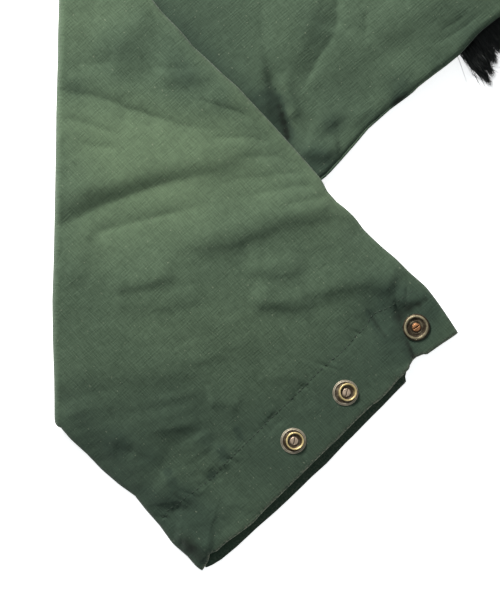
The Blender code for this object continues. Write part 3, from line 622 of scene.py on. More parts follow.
def cloth_material(name, colour, pale, dark, lint=0.30):
    """Slubby cotton canvas: threads both ways, thick and thin yarns, pale specks and wear, with paler and deeper tones
    from the fade attribute that on the sleeves are mostly painted light and shade.
    """
    k = Nodes(name)
    uv = k.uv()
    warp = k.noise(k.scaled(uv, (1500.0, 190.0, 1.0)), detail=2.0, rough=0.6, dims="2D")
    weft = k.noise(k.scaled(uv, (190.0, 1400.0, 1.0)), detail=2.0, rough=0.6, dims="2D")
    grain = k.noise(k.scaled(uv, (1700.0, 1500.0, 1.0)), detail=2.0, rough=0.7, dims="2D")
    warp = k.maths("ADD", k.maths("MULTIPLY", warp, 0.86), k.maths("MULTIPLY", k.ribs(uv, "X", 0.00125, 5.0), 0.14))
    weft = k.maths("ADD", k.maths("MULTIPLY", weft, 0.88), k.maths("MULTIPLY", k.ribs(uv, "Y", 0.00140, 5.0), 0.12))
    slub = k.noise(k.scaled(uv, (430.0, 45.0, 1.0)), detail=3.0, rough=0.6, dims="2D")
    slub2 = k.noise(k.scaled(uv, (60.0, 360.0, 1.0)), detail=2.0, rough=0.55, dims="2D")
    threads = k.maths("ADD", k.maths("MULTIPLY", warp, 0.46), k.maths("MULTIPLY", weft, 0.40))
    threads = k.maths("ADD", threads, k.maths("MULTIPLY", grain, 0.14))
    yarns = k.maths("ADD", k.maths("MULTIPLY", slub, 0.62), k.maths("MULTIPLY", slub2, 0.38))
    place = k.object()
    wide = k.noise(place, scale=11.0, detail=3.0, rough=0.55)
    mid = k.noise(place, scale=70.0, detail=4.0, rough=0.65)
    tone = k.maths("ADD", k.span(threads, 0.38, 0.62, -0.21, 0.21), k.span(yarns, 0.36, 0.64, -0.07, 0.07))
    tone = k.maths("ADD", tone, k.span(wide, 0.35, 0.65, -0.06, 0.06))
    tone = k.maths("ADD", tone, k.span(mid, 0.35, 0.65, -0.05, 0.05))
    tone = k.maths("ADD", tone, 0.5, clamp=True)
    base = k.mix(tone, (*dark, 1.0), (*pale, 1.0))
    # paler, warmer olive where the fade attribute is high and deep, cool green where it is low: on the sleeves mostly
    # a lit copy and a shaded copy of the cloth, painted light and shade; elsewhere a plain variation of tone
    fade = k.attribute("fade")
    paled_and_lit = [c * f for c, f in zip(colour, (1.62, 1.50, 1.42))]
    deep_and_shaded = [c * f for c, f in zip(colour, (0.52, 0.56, 0.62))]
    up = k.maths("MULTIPLY", k.span(k.maths("ADD", fade, k.span(wide, 0.3, 0.7, -0.15, 0.15)), 0.05, 1.0), 0.95)
    down = k.maths("MULTIPLY", k.span(k.maths("ADD", fade, k.span(wide, 0.3, 0.7, -0.15, 0.15)), -0.05, -1.0), 0.95)
    paled_and_lit_range = k.mix(tone, (*[c * 0.62 for c in paled_and_lit], 1.0), (*[c * 1.38 for c in paled_and_lit], 1.0))
    deep_and_shaded_range = k.mix(tone, (*[c * 0.62 for c in deep_and_shaded], 1.0), (*[c * 1.38 for c in deep_and_shaded], 1.0))
    base = k.mix(up, base, paled_and_lit_range)
    base = k.mix(down, base, deep_and_shaded_range)
    # and nearly black where the fade attribute is lowest: painted shade in the bottoms of the sharpest folds
    pinch = k.maths("MULTIPLY", k.span(fade, -1.5, -4.0), 0.85)
    base = k.mix(pinch, base, (*[c * 0.16 for c in colour], 1.0))
    # pale specks and lint
    speck = k.noise(k.scaled(uv, (760.0, 560.0, 1.0)), detail=1.0, rough=0.5, dims="2D")
    specks = k.maths("MULTIPLY", k.span(speck, 0.76, 0.84), lint)
    base = k.mix(specks, base, (0.26, 0.28, 0.20, 1.0))
    # worn, whitened fibres where the wear attribute says
    rub = k.noise(place, scale=1100.0, detail=2.0, rough=0.6)
    wear = k.maths("MULTIPLY", k.attribute("wear"), k.span(rub, 0.40, 0.66), clamp=True)
    base = k.mix(wear, base, (0.30, 0.30, 0.22, 1.0))
    k.put(k.shader.inputs["Base Color"], base)
    rough = k.span(threads, 0.3, 0.7, 0.84, 0.96)
    k.put(k.shader.inputs["Roughness"], rough)
    k.shader.inputs["Specular IOR Level"].default_value = 0.20
    k.shader.inputs["Sheen Weight"].default_value = 0.08
    k.shader.inputs["Sheen Roughness"].default_value = 0.5
    height = k.maths("ADD", k.maths("MULTIPLY", threads, 0.8), k.maths("MULTIPLY", yarns, 0.5))
    height = k.maths("ADD", height, k.maths("MULTIPLY", mid, 0.22))
    k.put(k.shader.inputs["Normal"], k.bump(height, 0.8, 0.0006))
    return k.mat


def thread_material(name, colour):
    k = Nodes(name)
    place = k.object()
    ply = k.noise(place, scale=2600.0, detail=1.0)
    k.put(k.shader.inputs["Base Color"], k.mix(ply, (*[c * 0.7 for c in colour], 1.0), (*[c * 1.3 for c in colour], 1.0)))
    k.shader.inputs["Roughness"].default_value = 0.7
    k.shader.inputs["Specular IOR Level"].default_value = 0.35
    k.put(k.shader.inputs["Normal"], k.bump(ply, 0.5, 0.0002))
    return k.mat


def brass_material(name, colour, dark, rough):
    """Antique brass: dark lacquer in the hollows, rubbed bright where the edge attribute is high."""
    k = Nodes(name)
    place = k.object()
    patch = k.noise(place, scale=420.0, detail=4.0, rough=0.65)
    fine = k.noise(place, scale=3200.0, detail=2.0, rough=0.6)
    rub = k.attribute("wear")
    age = k.maths("ADD", k.span(patch, 0.35, 0.65, -0.22, 0.22), rub, clamp=True)
    base = k.mix(age, (*dark, 1.0), (*colour, 1.0))
    k.put(k.shader.inputs["Base Color"], base)
    k.shader.inputs["Metallic"].default_value = 0.72
    k.put(k.shader.inputs["Roughness"], k.span(k.maths("ADD", k.maths("MULTIPLY", patch, 0.6), k.maths("MULTIPLY", fine, 0.4)), 0.3, 0.7, rough - 0.08, rough + 0.16))
    k.put(k.shader.inputs["Normal"], k.bump(fine, 0.25, 0.00012))
    return k.mat


def fur_material(name, root, tip):
    k = Nodes(name)
    along = k.attribute("wear")
    place = k.object()
    lock = k.noise(place, scale=160.0, detail=3.0, rough=0.6)
    base = k.mix(k.maths("MULTIPLY", along, k.span(lock, 0.3, 0.75)), (*root, 1.0), (*tip, 1.0))
    k.put(k.shader.inputs["Base Color"], base)
    k.put(k.shader.inputs["Roughness"], k.span(lock, 0.3, 0.7, 0.42, 0.62))
    k.shader.inputs["Specular IOR Level"].default_value = 0.4
    return k.mat


SHELL = cloth_material("shell canvas", (0.048, 0.076, 0.046), (0.078, 0.116, 0.074), (0.024, 0.042, 0.023))
# the inside face is darker than the outside: partly the cloth's own colour, partly painted shade for the strip of it
# that shows beyond the cuff's top layer
INSIDE_TONE_AND_SHADE = cloth_material("canvas inside", (0.026, 0.053, 0.029), (0.024, 0.048, 0.029), (0.010, 0.024, 0.013), 0.02)
THREAD = thread_material("sewing thread", (0.020, 0.033, 0.021))
BRASS = brass_material("antique brass", (0.41, 0.36, 0.275), (0.048, 0.032, 0.018), 0.50)
TAN = brass_material("antique brass ring", (0.30, 0.255, 0.16), (0.030, 0.020, 0.011), 0.52)
GOLD = brass_material("rubbed brass ring", (0.64, 0.50, 0.24), (0.055, 0.036, 0.016), 0.46)
COPPER = brass_material("snap rivet", (0.50, 0.23, 0.10), (0.045, 0.022, 0.012), 0.46)
RIVET = brass_material("stud rivet", (0.52, 0.40, 0.30), (0.055, 0.035, 0.020), 0.46)
FUR = fur_material("black fur", (0.0035, 0.0045, 0.0038), (0.018, 0.022, 0.019))


# ------------------------------------------------------------------ right and left sleeve
def armhole(t, out=0.0):
    x = PIT[0] + (SHOULDER[0] - PIT[0]) * t
    y = PIT[1] + (SHOULDER[1] - PIT[1]) * t
    bow = ARMHOLE_BOW * np.sin(np.pi * t) - out
    size = math.dist(PIT, SHOULDER)
    return x + (SHOULDER[1] - PIT[1]) / size * bow, y - (SHOULDER[0] - PIT[0]) / size * bow


def edge_shares(n, sharp=0.55):
    """n shares from 0 to 1, closer together at both ends."""
    u = np.linspace(0, 1, n)
    return (1 - sharp) * u + sharp * (0.5 - 0.5 * np.cos(np.pi * u))


def cuff_line():
    c0, c1 = np.array(UNDER_MM[-1]), np.array(OVER_MM[-1])
    size = np.linalg.norm(c1 - c0)
    return c0, c1, np.array(((c1[1] - c0[1]), -(c1[0] - c0[0]))) / size


def arm_over(x, y):
    """Distance outside the forearm's overarm edge, on the upper arm's visible side."""
    d, _, side = line_project(x, y, OVER_MM)
    return d * side


def from_x(line, x):
    """The part of a polyline past the place where it reaches x."""
    for k, (a, b) in enumerate(zip(line, line[1:])):
        if a[0] <= x <= b[0]:
            w = (x - a[0]) / (b[0] - a[0] + 1e-9)
            return [(x, a[1] + (b[1] - a[1]) * w)] + list(line[k + 1:])
    return list(line)


HEM_WIDTH = 29.5


def hem_relief(x, y, hem, seed):
    """The turned hem of the cuff: a doubled band, a sunk stitch line and the puckers along it."""
    rng = np.random.RandomState(seed + 40)
    z = 0.05 * smooth((HEM_WIDTH - hem) / 3.0)
    z -= 0.03 * np.exp(-((hem - HEM_WIDTH + 0.4) / 1.0) ** 2)
    c0, c1, _ = cuff_line()
    run = ((x - c0[0]) * (c1[0] - c0[0]) + (y - c0[1]) * (c1[1] - c0[1])) / np.linalg.norm(c1 - c0)
    at = 4.0
    while at < 165.0:
        size, tilt = rng.uniform(0.2, 0.9), rng.uniform(-0.6, 0.9)
        reach, thick = rng.uniform(1.6, 4.2), rng.uniform(0.7, 1.2)
        over = hem - HEM_WIDTH
        mid = at + tilt * over
        z -= size * np.exp(-((run - mid) / thick) ** 2) * np.exp(-np.abs(over + rng.uniform(-1, 1)) / reach)
        at += rng.uniform(3.2, 8.0)
    return z


# tone spots on the sleeve, pixel, reach, amount: the broad ones make the forearm paler towards the elbow and darker
# towards the cuff; the small strong ones are painted shade in the bottoms of the sharp folds
FORE_TONE_AND_PAINTED_SHADING = (((68, 15), 50, 0.45), ((128, 8), 34, 0.25), ((66, 118), 36, 0.4), ((150, 145), 58, 0.95), ((98, 145), 38, 0.4),
              ((222, 145), 45, 0.6), ((105, 230), 45, 0.5), ((185, 208), 50, 0.55), ((262, 188), 42, 0.45), ((325, 205), 34, 0.25),
              ((150, 325), 60, 0.3), ((240, 330), 60, 0.3),
              ((80, 425), 52, -0.7), ((175, 412), 44, -0.6), ((250, 430), 50, -0.5), ((120, 490), 52, -0.8), ((180, 535), 44, -1.1),
              ((335, 405), 52, -0.65), ((396, 350), 44, -0.75), ((418, 310), 34, -0.9), ((285, 480), 46, -0.45), ((375, 290), 32, -0.5),
              ((225, 510), 36, -0.35), ((166, 540), 30, -0.5), ((198, 549), 14, -0.6), ((184, 496), 11, -0.5), ((118, 443), 12, -0.4),
              ((150, 457), 12, -0.3), ((206, 440), 11, -0.35), ((224, 454), 10, -0.3), ((186, 56), 24, -0.2), ((120, 48), 20, -0.3), ((186, 80), 16, -0.3),
              ((224, 101), 12, -0.35), ((76, 90), 9, -0.4), ((369, 313), 3.5, -0.7), ((373, 320), 3.5, -0.9), ((378, 327), 3.5, -0.9), ((384, 335), 3.5, -0.7),
              ((407, 342), 4.5, -0.6), ((410, 349), 4, -1.0), ((413, 356), 3.5, -1.2), ((396, 318), 6, -0.7), ((390, 306), 8, -0.4), ((410, 306), 5, -0.5),
              ((401, 317), 7, -2.4), ((409, 308), 5.5, -2.2), ((419, 304), 4.4, -2.6), ((426, 299), 3, -2.2), ((433, 309), 5, -1.2), ((392, 298), 9, -0.8),
              ((369.5, 314), 2.4, -0.8), ((371, 317), 2.4, -1.2), ((373, 320), 2.4, -1.3), ((375, 323), 2.4, -1.4), ((377, 326), 2.4, -1.4),
              ((379.3, 329), 2.4, -1.4), ((381.6, 332), 2.4, -1.3), ((384, 335), 2.4, -1.1), ((386, 338), 2.4, -0.8),
              ((408, 344), 3, -1.8), ((411, 350), 3, -2.6), ((413, 356), 3, -2.6), ((186, 541), 7, -1.7), ((192, 549), 6, -2.0), ((201, 558), 6, -2.2),
              ((168, 472), 3.5, -1.2), ((172, 482), 3.5, -1.5), ((176, 492), 3.5, -1.5), ((178, 502), 3.5, -1.0), ((237, 430), 3, -1.3), ((240, 437), 3, -1.2),
              ((221, 449), 3, -1.3), ((224, 457), 3, -1.3), ((212, 475), 4, -1.0), ((115, 443), 5, -0.9), ((147, 494), 5, -0.8), ((232, 100), 9, 0.3), ((200, 60), 10, 0.25), ((340, 340), 26, -0.15), ((128, 60), 34, -0.15), ((190, 85), 30, -0.35), ((160, 40), 40, -0.2))
# upper arm: painted shade beside the forearm's edge and down the deep fold under it, painted highlights on the ridge
# beside that fold, and a near-black spot at the arm's lower edge
ARM_TONE_AND_PAINTED_SHADING = (((190, 20), 70, -0.35), ((230, 60), 40, -0.2), ((318, 25), 24, -0.35), ((410, 40), 70, -0.15), ((345, 108), 36, -0.35), ((320, 160), 26, -0.5),
             ((270, 112), 22, -1.0), ((285, 30), 22, 0.1), ((470, 20), 40, -0.15),
             ((286, 132), 8, -1.3), ((280, 119), 6, -1.0), ((268, 100), 8, -0.8), ((270, 112), 7, -0.5), ((290, 112), 5, 0.7), ((283, 88), 5, 0.5), ((295, 124), 5, 0.5), ((331, 124), 11, -0.5), ((322, 160), 15, -0.6),
             ((399, 100), 6, -1.3), ((395, 103), 3, -3.0), ((399, 100), 3.5, -3.5), ((404, 97), 3, -3.0),
             ((278, 98), 3, -2.0), ((280, 106), 3.2, -3.0), ((282, 114), 3.2, -3.8), ((284, 122), 3.2, -4.0), ((286, 130), 3, -3.8), ((287, 137), 3, -3.4), ((402, 86), 13, -0.7), ((378, 120), 10, -0.6), ((440, 66), 12, -0.4), ((470, 34), 16, -0.4))


def tone_and_shading_of(x, y, table):
    f = np.zeros(np.shape(x))
    for spot, reach, amount in table:
        p = px(spot)
        r = reach * PX
        f += amount * np.exp(-((x - p[0]) ** 2 + (y - p[1]) ** 2) / (r * r))
    return f


def sleeve_grid(which, side, upper_rows, turn_rows, fore_rows, columns, seed):
    """Middle surface of the back ("B") or front ("A") half of a sleeve, in the right sleeve's plan."""
    t = edge_shares(columns, 0.45)
    y_low = FOLD_LOW[1] + (FOLD_HIGH[1] - FOLD_LOW[1]) * t
    fold_mm = [px(p) for p in FOLD_EDGE]
    fold_x = np.interp(y_low, [p[1] for p in fold_mm][::-1], [p[0] for p in fold_mm][::-1])

    def levels(x, y):
        rx = -side * x
        return back_level(rx, y), front_level(rx, y), fore_low_level(x, y, side), fore_high_level(x, y, side)

    bulge = 3.0 if which == "B" else 1.5
    cx = fold_x + 3.0 + WALL / 2
    under, over = from_x(UNDER_MM, cx[0]), from_x(OVER_MM, cx[-1])
    y_high = (y_low + (under[0][1] - y_low[0]) * np.clip(1 - t / 0.15, 0, 1) ** 2
              + (over[0][1] - y_low[-1]) * np.clip(1 - (1 - t) / 0.15, 0, 1) ** 2)
    b_low, a_low, _, _ = levels(cx, y_low)
    _, _, a_high, b_high = levels(cx, y_high)
    low, high = (b_low, b_high) if which == "B" else (a_low, a_high)
    high = np.maximum(high, low + 1.1)
    radius = (high - low) / 2
    near0, near1 = np.clip(1 - t / 0.03, 0, 1), np.clip(1 - (1 - t) / 0.03, 0, 1)
    # upper arm
    s_up = np.linspace(0, 1, upper_rows)
    ax, ay = armhole(t, 0.3)
    upx = ax[None, :] + (cx - ax)[None, :] * s_up[:, None]
    upy = ay[None, :] + (y_low - ay)[None, :] * s_up[:, None]
    edge = np.array(ARM_MM)
    ux, uy = (PIT[0] - FOLD_LOW[0]), (PIT[1] - FOLD_LOW[1])
    size = math.hypot(ux, uy)
    ux, uy = ux / size, uy / size
    run = (edge[:, 0] - FOLD_LOW[0]) * ux + (edge[:, 1] - FOLD_LOW[1]) * uy
    off = -(edge[:, 0] - FOLD_LOW[0]) * uy + (edge[:, 1] - FOLD_LOW[1]) * ux
    here = (upx - FOLD_LOW[0]) * ux + (upy - FOLD_LOW[1]) * uy
    shift = np.interp(here, run, off) * (1 - t[None, :]) ** 5
    if which == "B":
        shift = shift + 2.2 * near0[None, :]
    upx += -uy * shift
    upy += ux * shift
    vx, vy = (FOLD_HIGH[0] - SHOULDER[0]), (FOLD_HIGH[1] - SHOULDER[1])
    size = math.hypot(vx, vy)
    if which == "B":
        upx += -vy / size * 2.2 * near1[None, :]
        upy += vx / size * 2.2 * near1[None, :]
    rx = -side * upx
    upz = back_level(rx, upy) if which == "B" else front_level(rx, upy)
    way_up = edge_way(upx, upy)
    if which == "A":
        visible = smooth((arm_over(upx, upy) + 5.0) / 9.0)
        bend = creases(upx, upy, ARM_CREASES, px) * ARM_DEPTH + undulation(upx, upy, seed, 1.3)
        upz = upz + bend * visible * smooth((way_up + 1.0) / 8.0) * (0.3 + 0.7 * smooth(s_up[:, None] / 0.03))
        upz -= 0.8 * np.exp(-((s_up[:, None] * 250.0) / 1.6) ** 2)
        upz = np.maximum(upz, back_level(rx, upy) + 0.35)
    # forearm
    s_fore = np.linspace(0, 1, fore_rows)
    e0, e1 = resample(under, s_fore, 1.0), resample(over, s_fore, 1.0)
    fx = e0[:, None, 0] + (e1[:, None, 0] - e0[:, None, 0]) * t[None, :]
    fy = e0[:, None, 1] + (e1[:, None, 1] - e0[:, None, 1]) * t[None, :]
    w = (1 - smooth(s_fore / 0.16))[:, None]
    fx += (cx - fx[0])[None, :] * w
    fy += (y_high - fy[0])[None, :] * w
    if which == "A":
        d0 = e1 - e0
        d0 /= np.linalg.norm(d0, axis=1)[:, None]
        inset = 2.2 * (near0 - near1)[None, :] * smooth(s_fore / 0.1)[:, None]
        fx += d0[:, 0:1] * inset
        fy += d0[:, 1:2] * inset
    c0, c1, out = cuff_line()
    table = CUFF_BACK if which == "B" else CUFF_FRONT
    far = np.interp(t, [r[0] for r in table], [r[1] for r in table]) * PX
    weight = (smooth((s_fore - 0.8) / 0.2) ** 1.5)[:, None]
    fx += out[0] * far[None, :] * weight
    fy += out[1] * far[None, :] * weight
    fz = fore_high_level(fx, fy, side) if which == "B" else fore_low_level(fx, fy, side)
    straight = ((c1[0] - c0[0]) * (fy - c0[1]) - (c1[1] - c0[1]) * (fx - c0[0])) / np.linalg.norm(c1 - c0)
    hem = straight + far[None, :]
    way = np.minimum(line_distance(fx, fy, UNDER_MM), line_distance(fx, fy, OVER_MM))
    if which == "B":
        bend = creases(fx, fy, FORE_CREASES, px) * FORE_DEPTH + undulation(fx, fy, seed + 7, 1.35)
        bend = bend * smooth((way + 2.0) / 8.0)
        bend = bend + hem_relief(fx, fy, hem, seed)
        bend = bend - 0.10 * np.exp(-((way - 2.1) / 0.8) ** 2)
        # the cuff's corner by the socket stands up a little
        bend = bend + 1.4 * smooth((t - 0.70) / 0.22)[None, :] * smooth((38.0 - hem) / 34.0)
        bend = bend - 0.6 * np.exp(-np.maximum(hem, 0) / 0.6)
        fz = fz + bend * (0.75 + 0.25 * smooth(s_fore / 0.08))[:, None]
        start = bend[0] * 0.75
    else:
        fz = np.maximum(fz + 0.35 * undulation(fx, fy, seed + 9) * smooth(way / 8.0), 0.6)
        start = 0.0 * t
    # turn round the fold
    ang = np.linspace(0, np.pi, turn_rows + 2)[1:-1, None]
    part = 0.5 - 0.5 * np.cos(ang)
    reach = radius[None, :] + start[None, :] * part
    tx = cx[None, :] - bulge * np.sin(ang)
    ty = y_low[None, :] + (y_high - y_low)[None, :] * part
    tz = (high + low)[None, :] / 2 - reach * np.cos(ang)
    gx = np.concatenate([upx, tx, fx])
    gy = np.concatenate([upy, ty, fy])
    gz = np.maximum(np.concatenate([upz, tz, fz]), 0.55)
    grid = np.stack([gx, gy, gz], -1)
    # weave coordinates in metres: the yarns run along each arm's own axis
    uv = np.zeros((*gx.shape, 2))
    n_up = upper_rows + turn_rows
    axis = np.array((OVER_MM[-1][0] - OVER_MM[3][0], OVER_MM[-1][1] - OVER_MM[3][1]))
    axis /= np.linalg.norm(axis)
    arm = np.array((FOLD_LOW[0] - PIT[0], FOLD_LOW[1] - PIT[1]))
    arm /= np.linalg.norm(arm)
    for rows, a, x, y in ((slice(0, upper_rows), arm, upx, upy), (slice(n_up, None), axis, fx, fy)):
        uv[rows, :, 1] = (x * a[0] + y * a[1]) * 0.001
        uv[rows, :, 0] = (-x * a[1] + y * a[0]) * 0.001
    uv[upper_rows:n_up, :, 0] = uv[n_up, :, 0][None, :]
    uv[upper_rows:n_up, :, 1] = uv[n_up, :, 1][None, :] - 0.001 * (np.pi - ang) * radius[None, :]
    wear = np.zeros(gx.shape)
    wear[n_up:] = 0.85 * np.exp(-np.maximum(hem - 0.1, 0) / 0.45) + 0.07 * np.exp(-(way / 0.9) ** 2)
    if which == "A":
        wear *= 0.15
    # the tone spots, with their painted light and shade, go into the fade attribute
    table = FORE_TONE_AND_PAINTED_SHADING if which == "B" else ARM_TONE_AND_PAINTED_SHADING
    fade = np.concatenate([tone_and_shading_of(upx, upy, table), tone_and_shading_of(tx, ty, table), tone_and_shading_of(fx, fy, table)])
    # the forearm's top edge is paler; beside it the upper arm gets a painted shadow strip
    if which == "B":
        fade[n_up:] += 0.42 * np.exp(-(line_distance(fx, fy, OVER_MM[:16]) / 5.0) ** 2)
    else:
        fade[:upper_rows] -= 0.50 * np.exp(-(line_distance(upx, upy, OVER_MM) / 7.0) ** 2)
    return grid, uv, wear, fade, n_up


def as_piece(ob, slot, *nodes):
    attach(ob, "root")
    if nodes:
        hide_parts(*nodes)
    return ob


def make_sleeve(tag, side, dense):
    n = lambda a: max(6, int(a * dense))
    mirror = side > 0
    seed = 11 if side < 0 else 57
    made = {}
    for which, word, rows in (("B", "back", (34, 12, 262, 280)), ("A", "front", (204, 8, 24, 270))):
        grid, uv, wear, fade, n_up = sleeve_grid(which, side, n(rows[0]), rows[1], n(rows[2]), n(rows[3]), seed)
        name = "sleeve_" + word + "_" + tag
        ob = sheet_object(name + "_shell", grid, [SHELL, INSIDE_TONE_AND_SHADE], uv, {"wear": wear, "fade": fade},
                          flip=which == "B", mirror=mirror, coarse=3 if which == "B" else 2)
        as_piece(ob, "shell_cloth", name)
        made[word], made[word + "_grid"] = ob, grid
    return made


sleeves = {"r": make_sleeve("r", -1, 1.0), "l": make_sleeve("l", 1, 0.56)}


# ------------------------------------------------------------------ body panels
def body_plan(neck_depth, low_rows, arm_rows, columns, centre=0.0):
    """Plan of half a body panel: rows from hem to shoulder, columns from the centre to the side."""
    c = edge_shares(columns, 0.3)
    above = np.linspace(0, 458.0, low_rows)
    half = HALF_HEM + (HALF_CHEST - HALF_HEM) * above / 458.0
    x_low = half[:, None] * c
    y_low = (HEM_Y + above)[:, None] + 0 * c
    t = np.linspace(0, 1, arm_rows + 1)[1:]
    sx, sy = armhole(t)
    sx = np.abs(sx)
    top_y, low_y = NECK[1] - neck_depth, HEM_Y + 458.0
    cy = low_y + (top_y - low_y) * t
    x = sx[:, None] * c
    y = cy[:, None] + (sy - cy)[:, None] * c
    q = c / 0.377
    straight = top_y + (SHOULDER[1] - top_y) * c
    w = (c - 0.377) / 0.623
    edge = np.where(q <= 1, NECK[1] - neck_depth * np.sqrt(np.clip(1 - q * q, 0, 1)), NECK[1] + (SHOULDER[1] - NECK[1]) * w)
    edge_x = np.where(q <= 1, -NECK[0] * q, -(NECK[0] + (SHOULDER[0] - NECK[0]) * w))
    weight = (t * t)[:, None]
    y = y + (edge - straight) * weight
    x = x + (edge_x + SHOULDER[0] * c) * weight
    return np.maximum(np.concatenate([x_low, x]), centre), np.concatenate([y_low, y])


ARMHOLE_LINE = [(float(a), float(b)) for a, b in zip(*armhole(np.linspace(0, 1, 13)))]


def body_relief(x, y, side):
    """Creases of a front; the left one has its own, warped from the right's."""
    rx = -np.abs(x)
    if side > 0:
        wx, wy = rx + 14 * value_noise(rx / 120, y / 120, 71), y + 22 * value_noise(rx / 130, y / 110, 72) - 12
        z = 0.9 * creases(wx, wy, BODY_CREASES) + undulation(rx + 400, y, 73, 1.15)
    else:
        z = creases(rx, y, BODY_CREASES) + undulation(rx, y, 31, 1.15)
    z = z * smooth((edge_way(x, y) + 1.0) / 10.0)
    seam = line_distance(rx, y, ARMHOLE_LINE)
    z -= 0.9 * np.exp(-(seam / 1.5) ** 2)
    shoulder = line_distance(rx, y, (NECK, SHOULDER))
    z -= 0.5 * np.exp(-(shoulder / 1.5) ** 2)
    # turned hem with its stitch line and puckers
    hem = y - HEM_Y
    z += 0.4 * smooth((24.0 - hem) / 1.6) - 0.45 * np.exp(-((hem - 23.6) / 1.1) ** 2)
    z -= (0.5 + 0.5 * value_noise(x / 5.0, y / 60.0, 15)) * 0.45 * np.exp(-np.abs(hem - 23.0) / 6.0)
    return z


def front_z(x, y, side):
    return np.maximum(front_level(x, y) + body_relief(x, y, side), back_level(x, y) + 0.35)


def pocket_way(x, y):
    """Distance inside the edge of the pocket bag, negative outside."""
    y0, y1 = HEM_Y + 40.0, HEM_Y + 225.0
    half = 306.0
    return np.minimum.reduce([np.abs(x) - half * 0.233, half * 0.833 - np.abs(x), y - y0, y1 - y])


def pocket_z(x, y, side):
    way = np.maximum(pocket_way(x, y), 0)
    sag = creases(-np.abs(x), y, POCKET_CREASES) if side < 0 else 0.8 * creases(-np.abs(x) - 9, y + 14, POCKET_CREASES)
    return (front_z(x, y, side) + 1.12 + 2.4 * smooth(way / 34.0) + 0.25 * smooth((7 - way) / 1.5)
            - 0.25 * np.exp(-((way - 7.4) / 0.9) ** 2) + sag * smooth(way / 16.0))


def flap_z(x, y, side):
    y0 = HEM_Y + 225.0
    over = smooth((y0 - y + 14.0) / 22.0)
    base = front_z(x, y, side) + 1.15
    top = pocket_z(x, y, side) + 1.15
    return np.maximum(base, top * over + base * (1 - over)) + 0.9 * over * smooth((y - HEM_Y - 190) / 14.0)


POCKET_CREASES = (
    ("lap", (4.0, 16.0), 1.3, 0.2, 0.3, ((-248, -196), (-210, -184), (-168, -186), (-120, -200))),
    ("fold", (3.0, 8.0), 0.9, 0.2, 0.3, ((-82, -150), (-104, -168), (-120, -200), (-124, -228))),
    ("fold", (2.6, 6.0), 0.8, 0.2, 0.3, ((-246, -150), (-228, -172), (-222, -208))),
    ("valley", 7.0, 0.9, 0.2, 0.3, ((-235, -230), (-190, -205), (-150, -175), (-125, -140))),
    ("step", 3.0, 0.8, 0.2, 0.3, ((-90, -225), (-120, -190), (-135, -150))),
    ("ridge", 7.0, 0.7, 0.3, 0.3, ((-200, -120), (-175, -160), (-170, -200))),
    ("crease", 2.0, 0.5, 0.2, 0.3, ((-240, -110), (-215, -140), (-195, -185))),
)


def plan_uv(x, y, turn=0.0):
    c, s = math.cos(turn), math.sin(turn)
    return np.stack([(x * c - y * s) * 0.001, (x * s + y * c) * 0.001], -1)


B = 1.0
n = lambda a: max(6, int(a * B))

pieces = {}
x, y = body_plan(BACK_NECK_DEPTH, n(62), n(40), n(46))
x = np.concatenate([-x[:, :0:-1], x], 1)
y = np.concatenate([y[:, :0:-1], y], 1)
z = back_level(x, y) + 0.25 * (1 + value_noise(x / 30, y / 26, 91)) * smooth(edge_way(x, y) / 8.0) * 0.6
grid = np.stack([x, y, z], -1)
back = sheet_object("back_shell", grid, [SHELL, INSIDE_TONE_AND_SHADE], plan_uv(x, y),
                    {"wear": 0.3 * np.exp(-(y - HEM_Y) / 0.6), "fade": 0 * x}, flip=True)
as_piece(back, "shell_cloth", "back")

front_trees = {}
for tag, side in (("r", -1), ("l", 1)):
    x, y = body_plan(FRONT_NECK_DEPTH, n(168), n(106), n(116), 0.35)
    x = side * x
    z = front_z(x, y, side)
    grid = np.stack([x, y, z], -1)
    wear = 0.5 * np.exp(-(y - HEM_Y) / 0.6) + 0.10 * np.exp(-edge_way(x, y) / 1.2)
    fade = 0.35 * value_noise(x / 90 + 5 * side, y / 80, 61) + 0.15
    ob = sheet_object("front_" + tag + "_shell", grid, [SHELL, INSIDE_TONE_AND_SHADE], plan_uv(x, y),
                      {"wear": wear, "fade": fade}, flip=side < 0)
    as_piece(ob, "shell_cloth", "front_" + tag)
    pieces["front_" + tag] = ob
    # patch pocket and its flap
    for word, y0, y1, rows, level in (("pocket", 40.0, 225.0, 70, pocket_z), ("flap", 190.0, 255.0, 30, flap_z)):
        u, v = edge_shares(n(72), 0.35), edge_shares(n(rows), 0.35)
        gu, gv = np.meshgrid(u, v)
        gy = HEM_Y + y0 + (y1 - y0) * gv
        above = gy - HEM_Y
        half = HALF_HEM + (HALF_CHEST - HALF_HEM) * above / 458.0
        grow = 0.0 if word == "pocket" else 1.5
        gx = half * 0.233 - grow + (half * 0.6 + 2 * grow) * gu
        a, b = 2 * gu - 1, 2 * gv - 1
        low = b < 0
        gx = gx - np.where(low, 5.0 * a * np.abs(b) ** 10, 0)
        gy = gy + np.where(low, (3.5 if word == "flap" else 5.0) * np.abs(a) ** 12, 0) + 0.8 * value_noise(gu * 7, gv, 5) * (np.abs(b) > 0.9)
        gx = side * gx
        gz = level(gx, gy, side)
        grid = np.stack([gx, gy, gz], -1)
        rim = np.minimum(np.minimum(u, 1 - u)[None, :] * 181, np.minimum(v, 1 - v)[:, None] * (y1 - y0))
        wear = 0.55 * np.exp(-rim / 0.6)
        ob = sheet_object(word + "_" + tag + "_shell", grid, [SHELL, INSIDE_TONE_AND_SHADE], plan_uv(gx, gy, 0.02 * side),
                          {"wear": wear, "fade": 0.25 + 0.2 * value_noise(gx / 40, gy / 40, 8)}, flip=side < 0)
        as_piece(ob, "trim_cloth", word + "_" + tag)
        pieces[word + "_" + tag] = ob

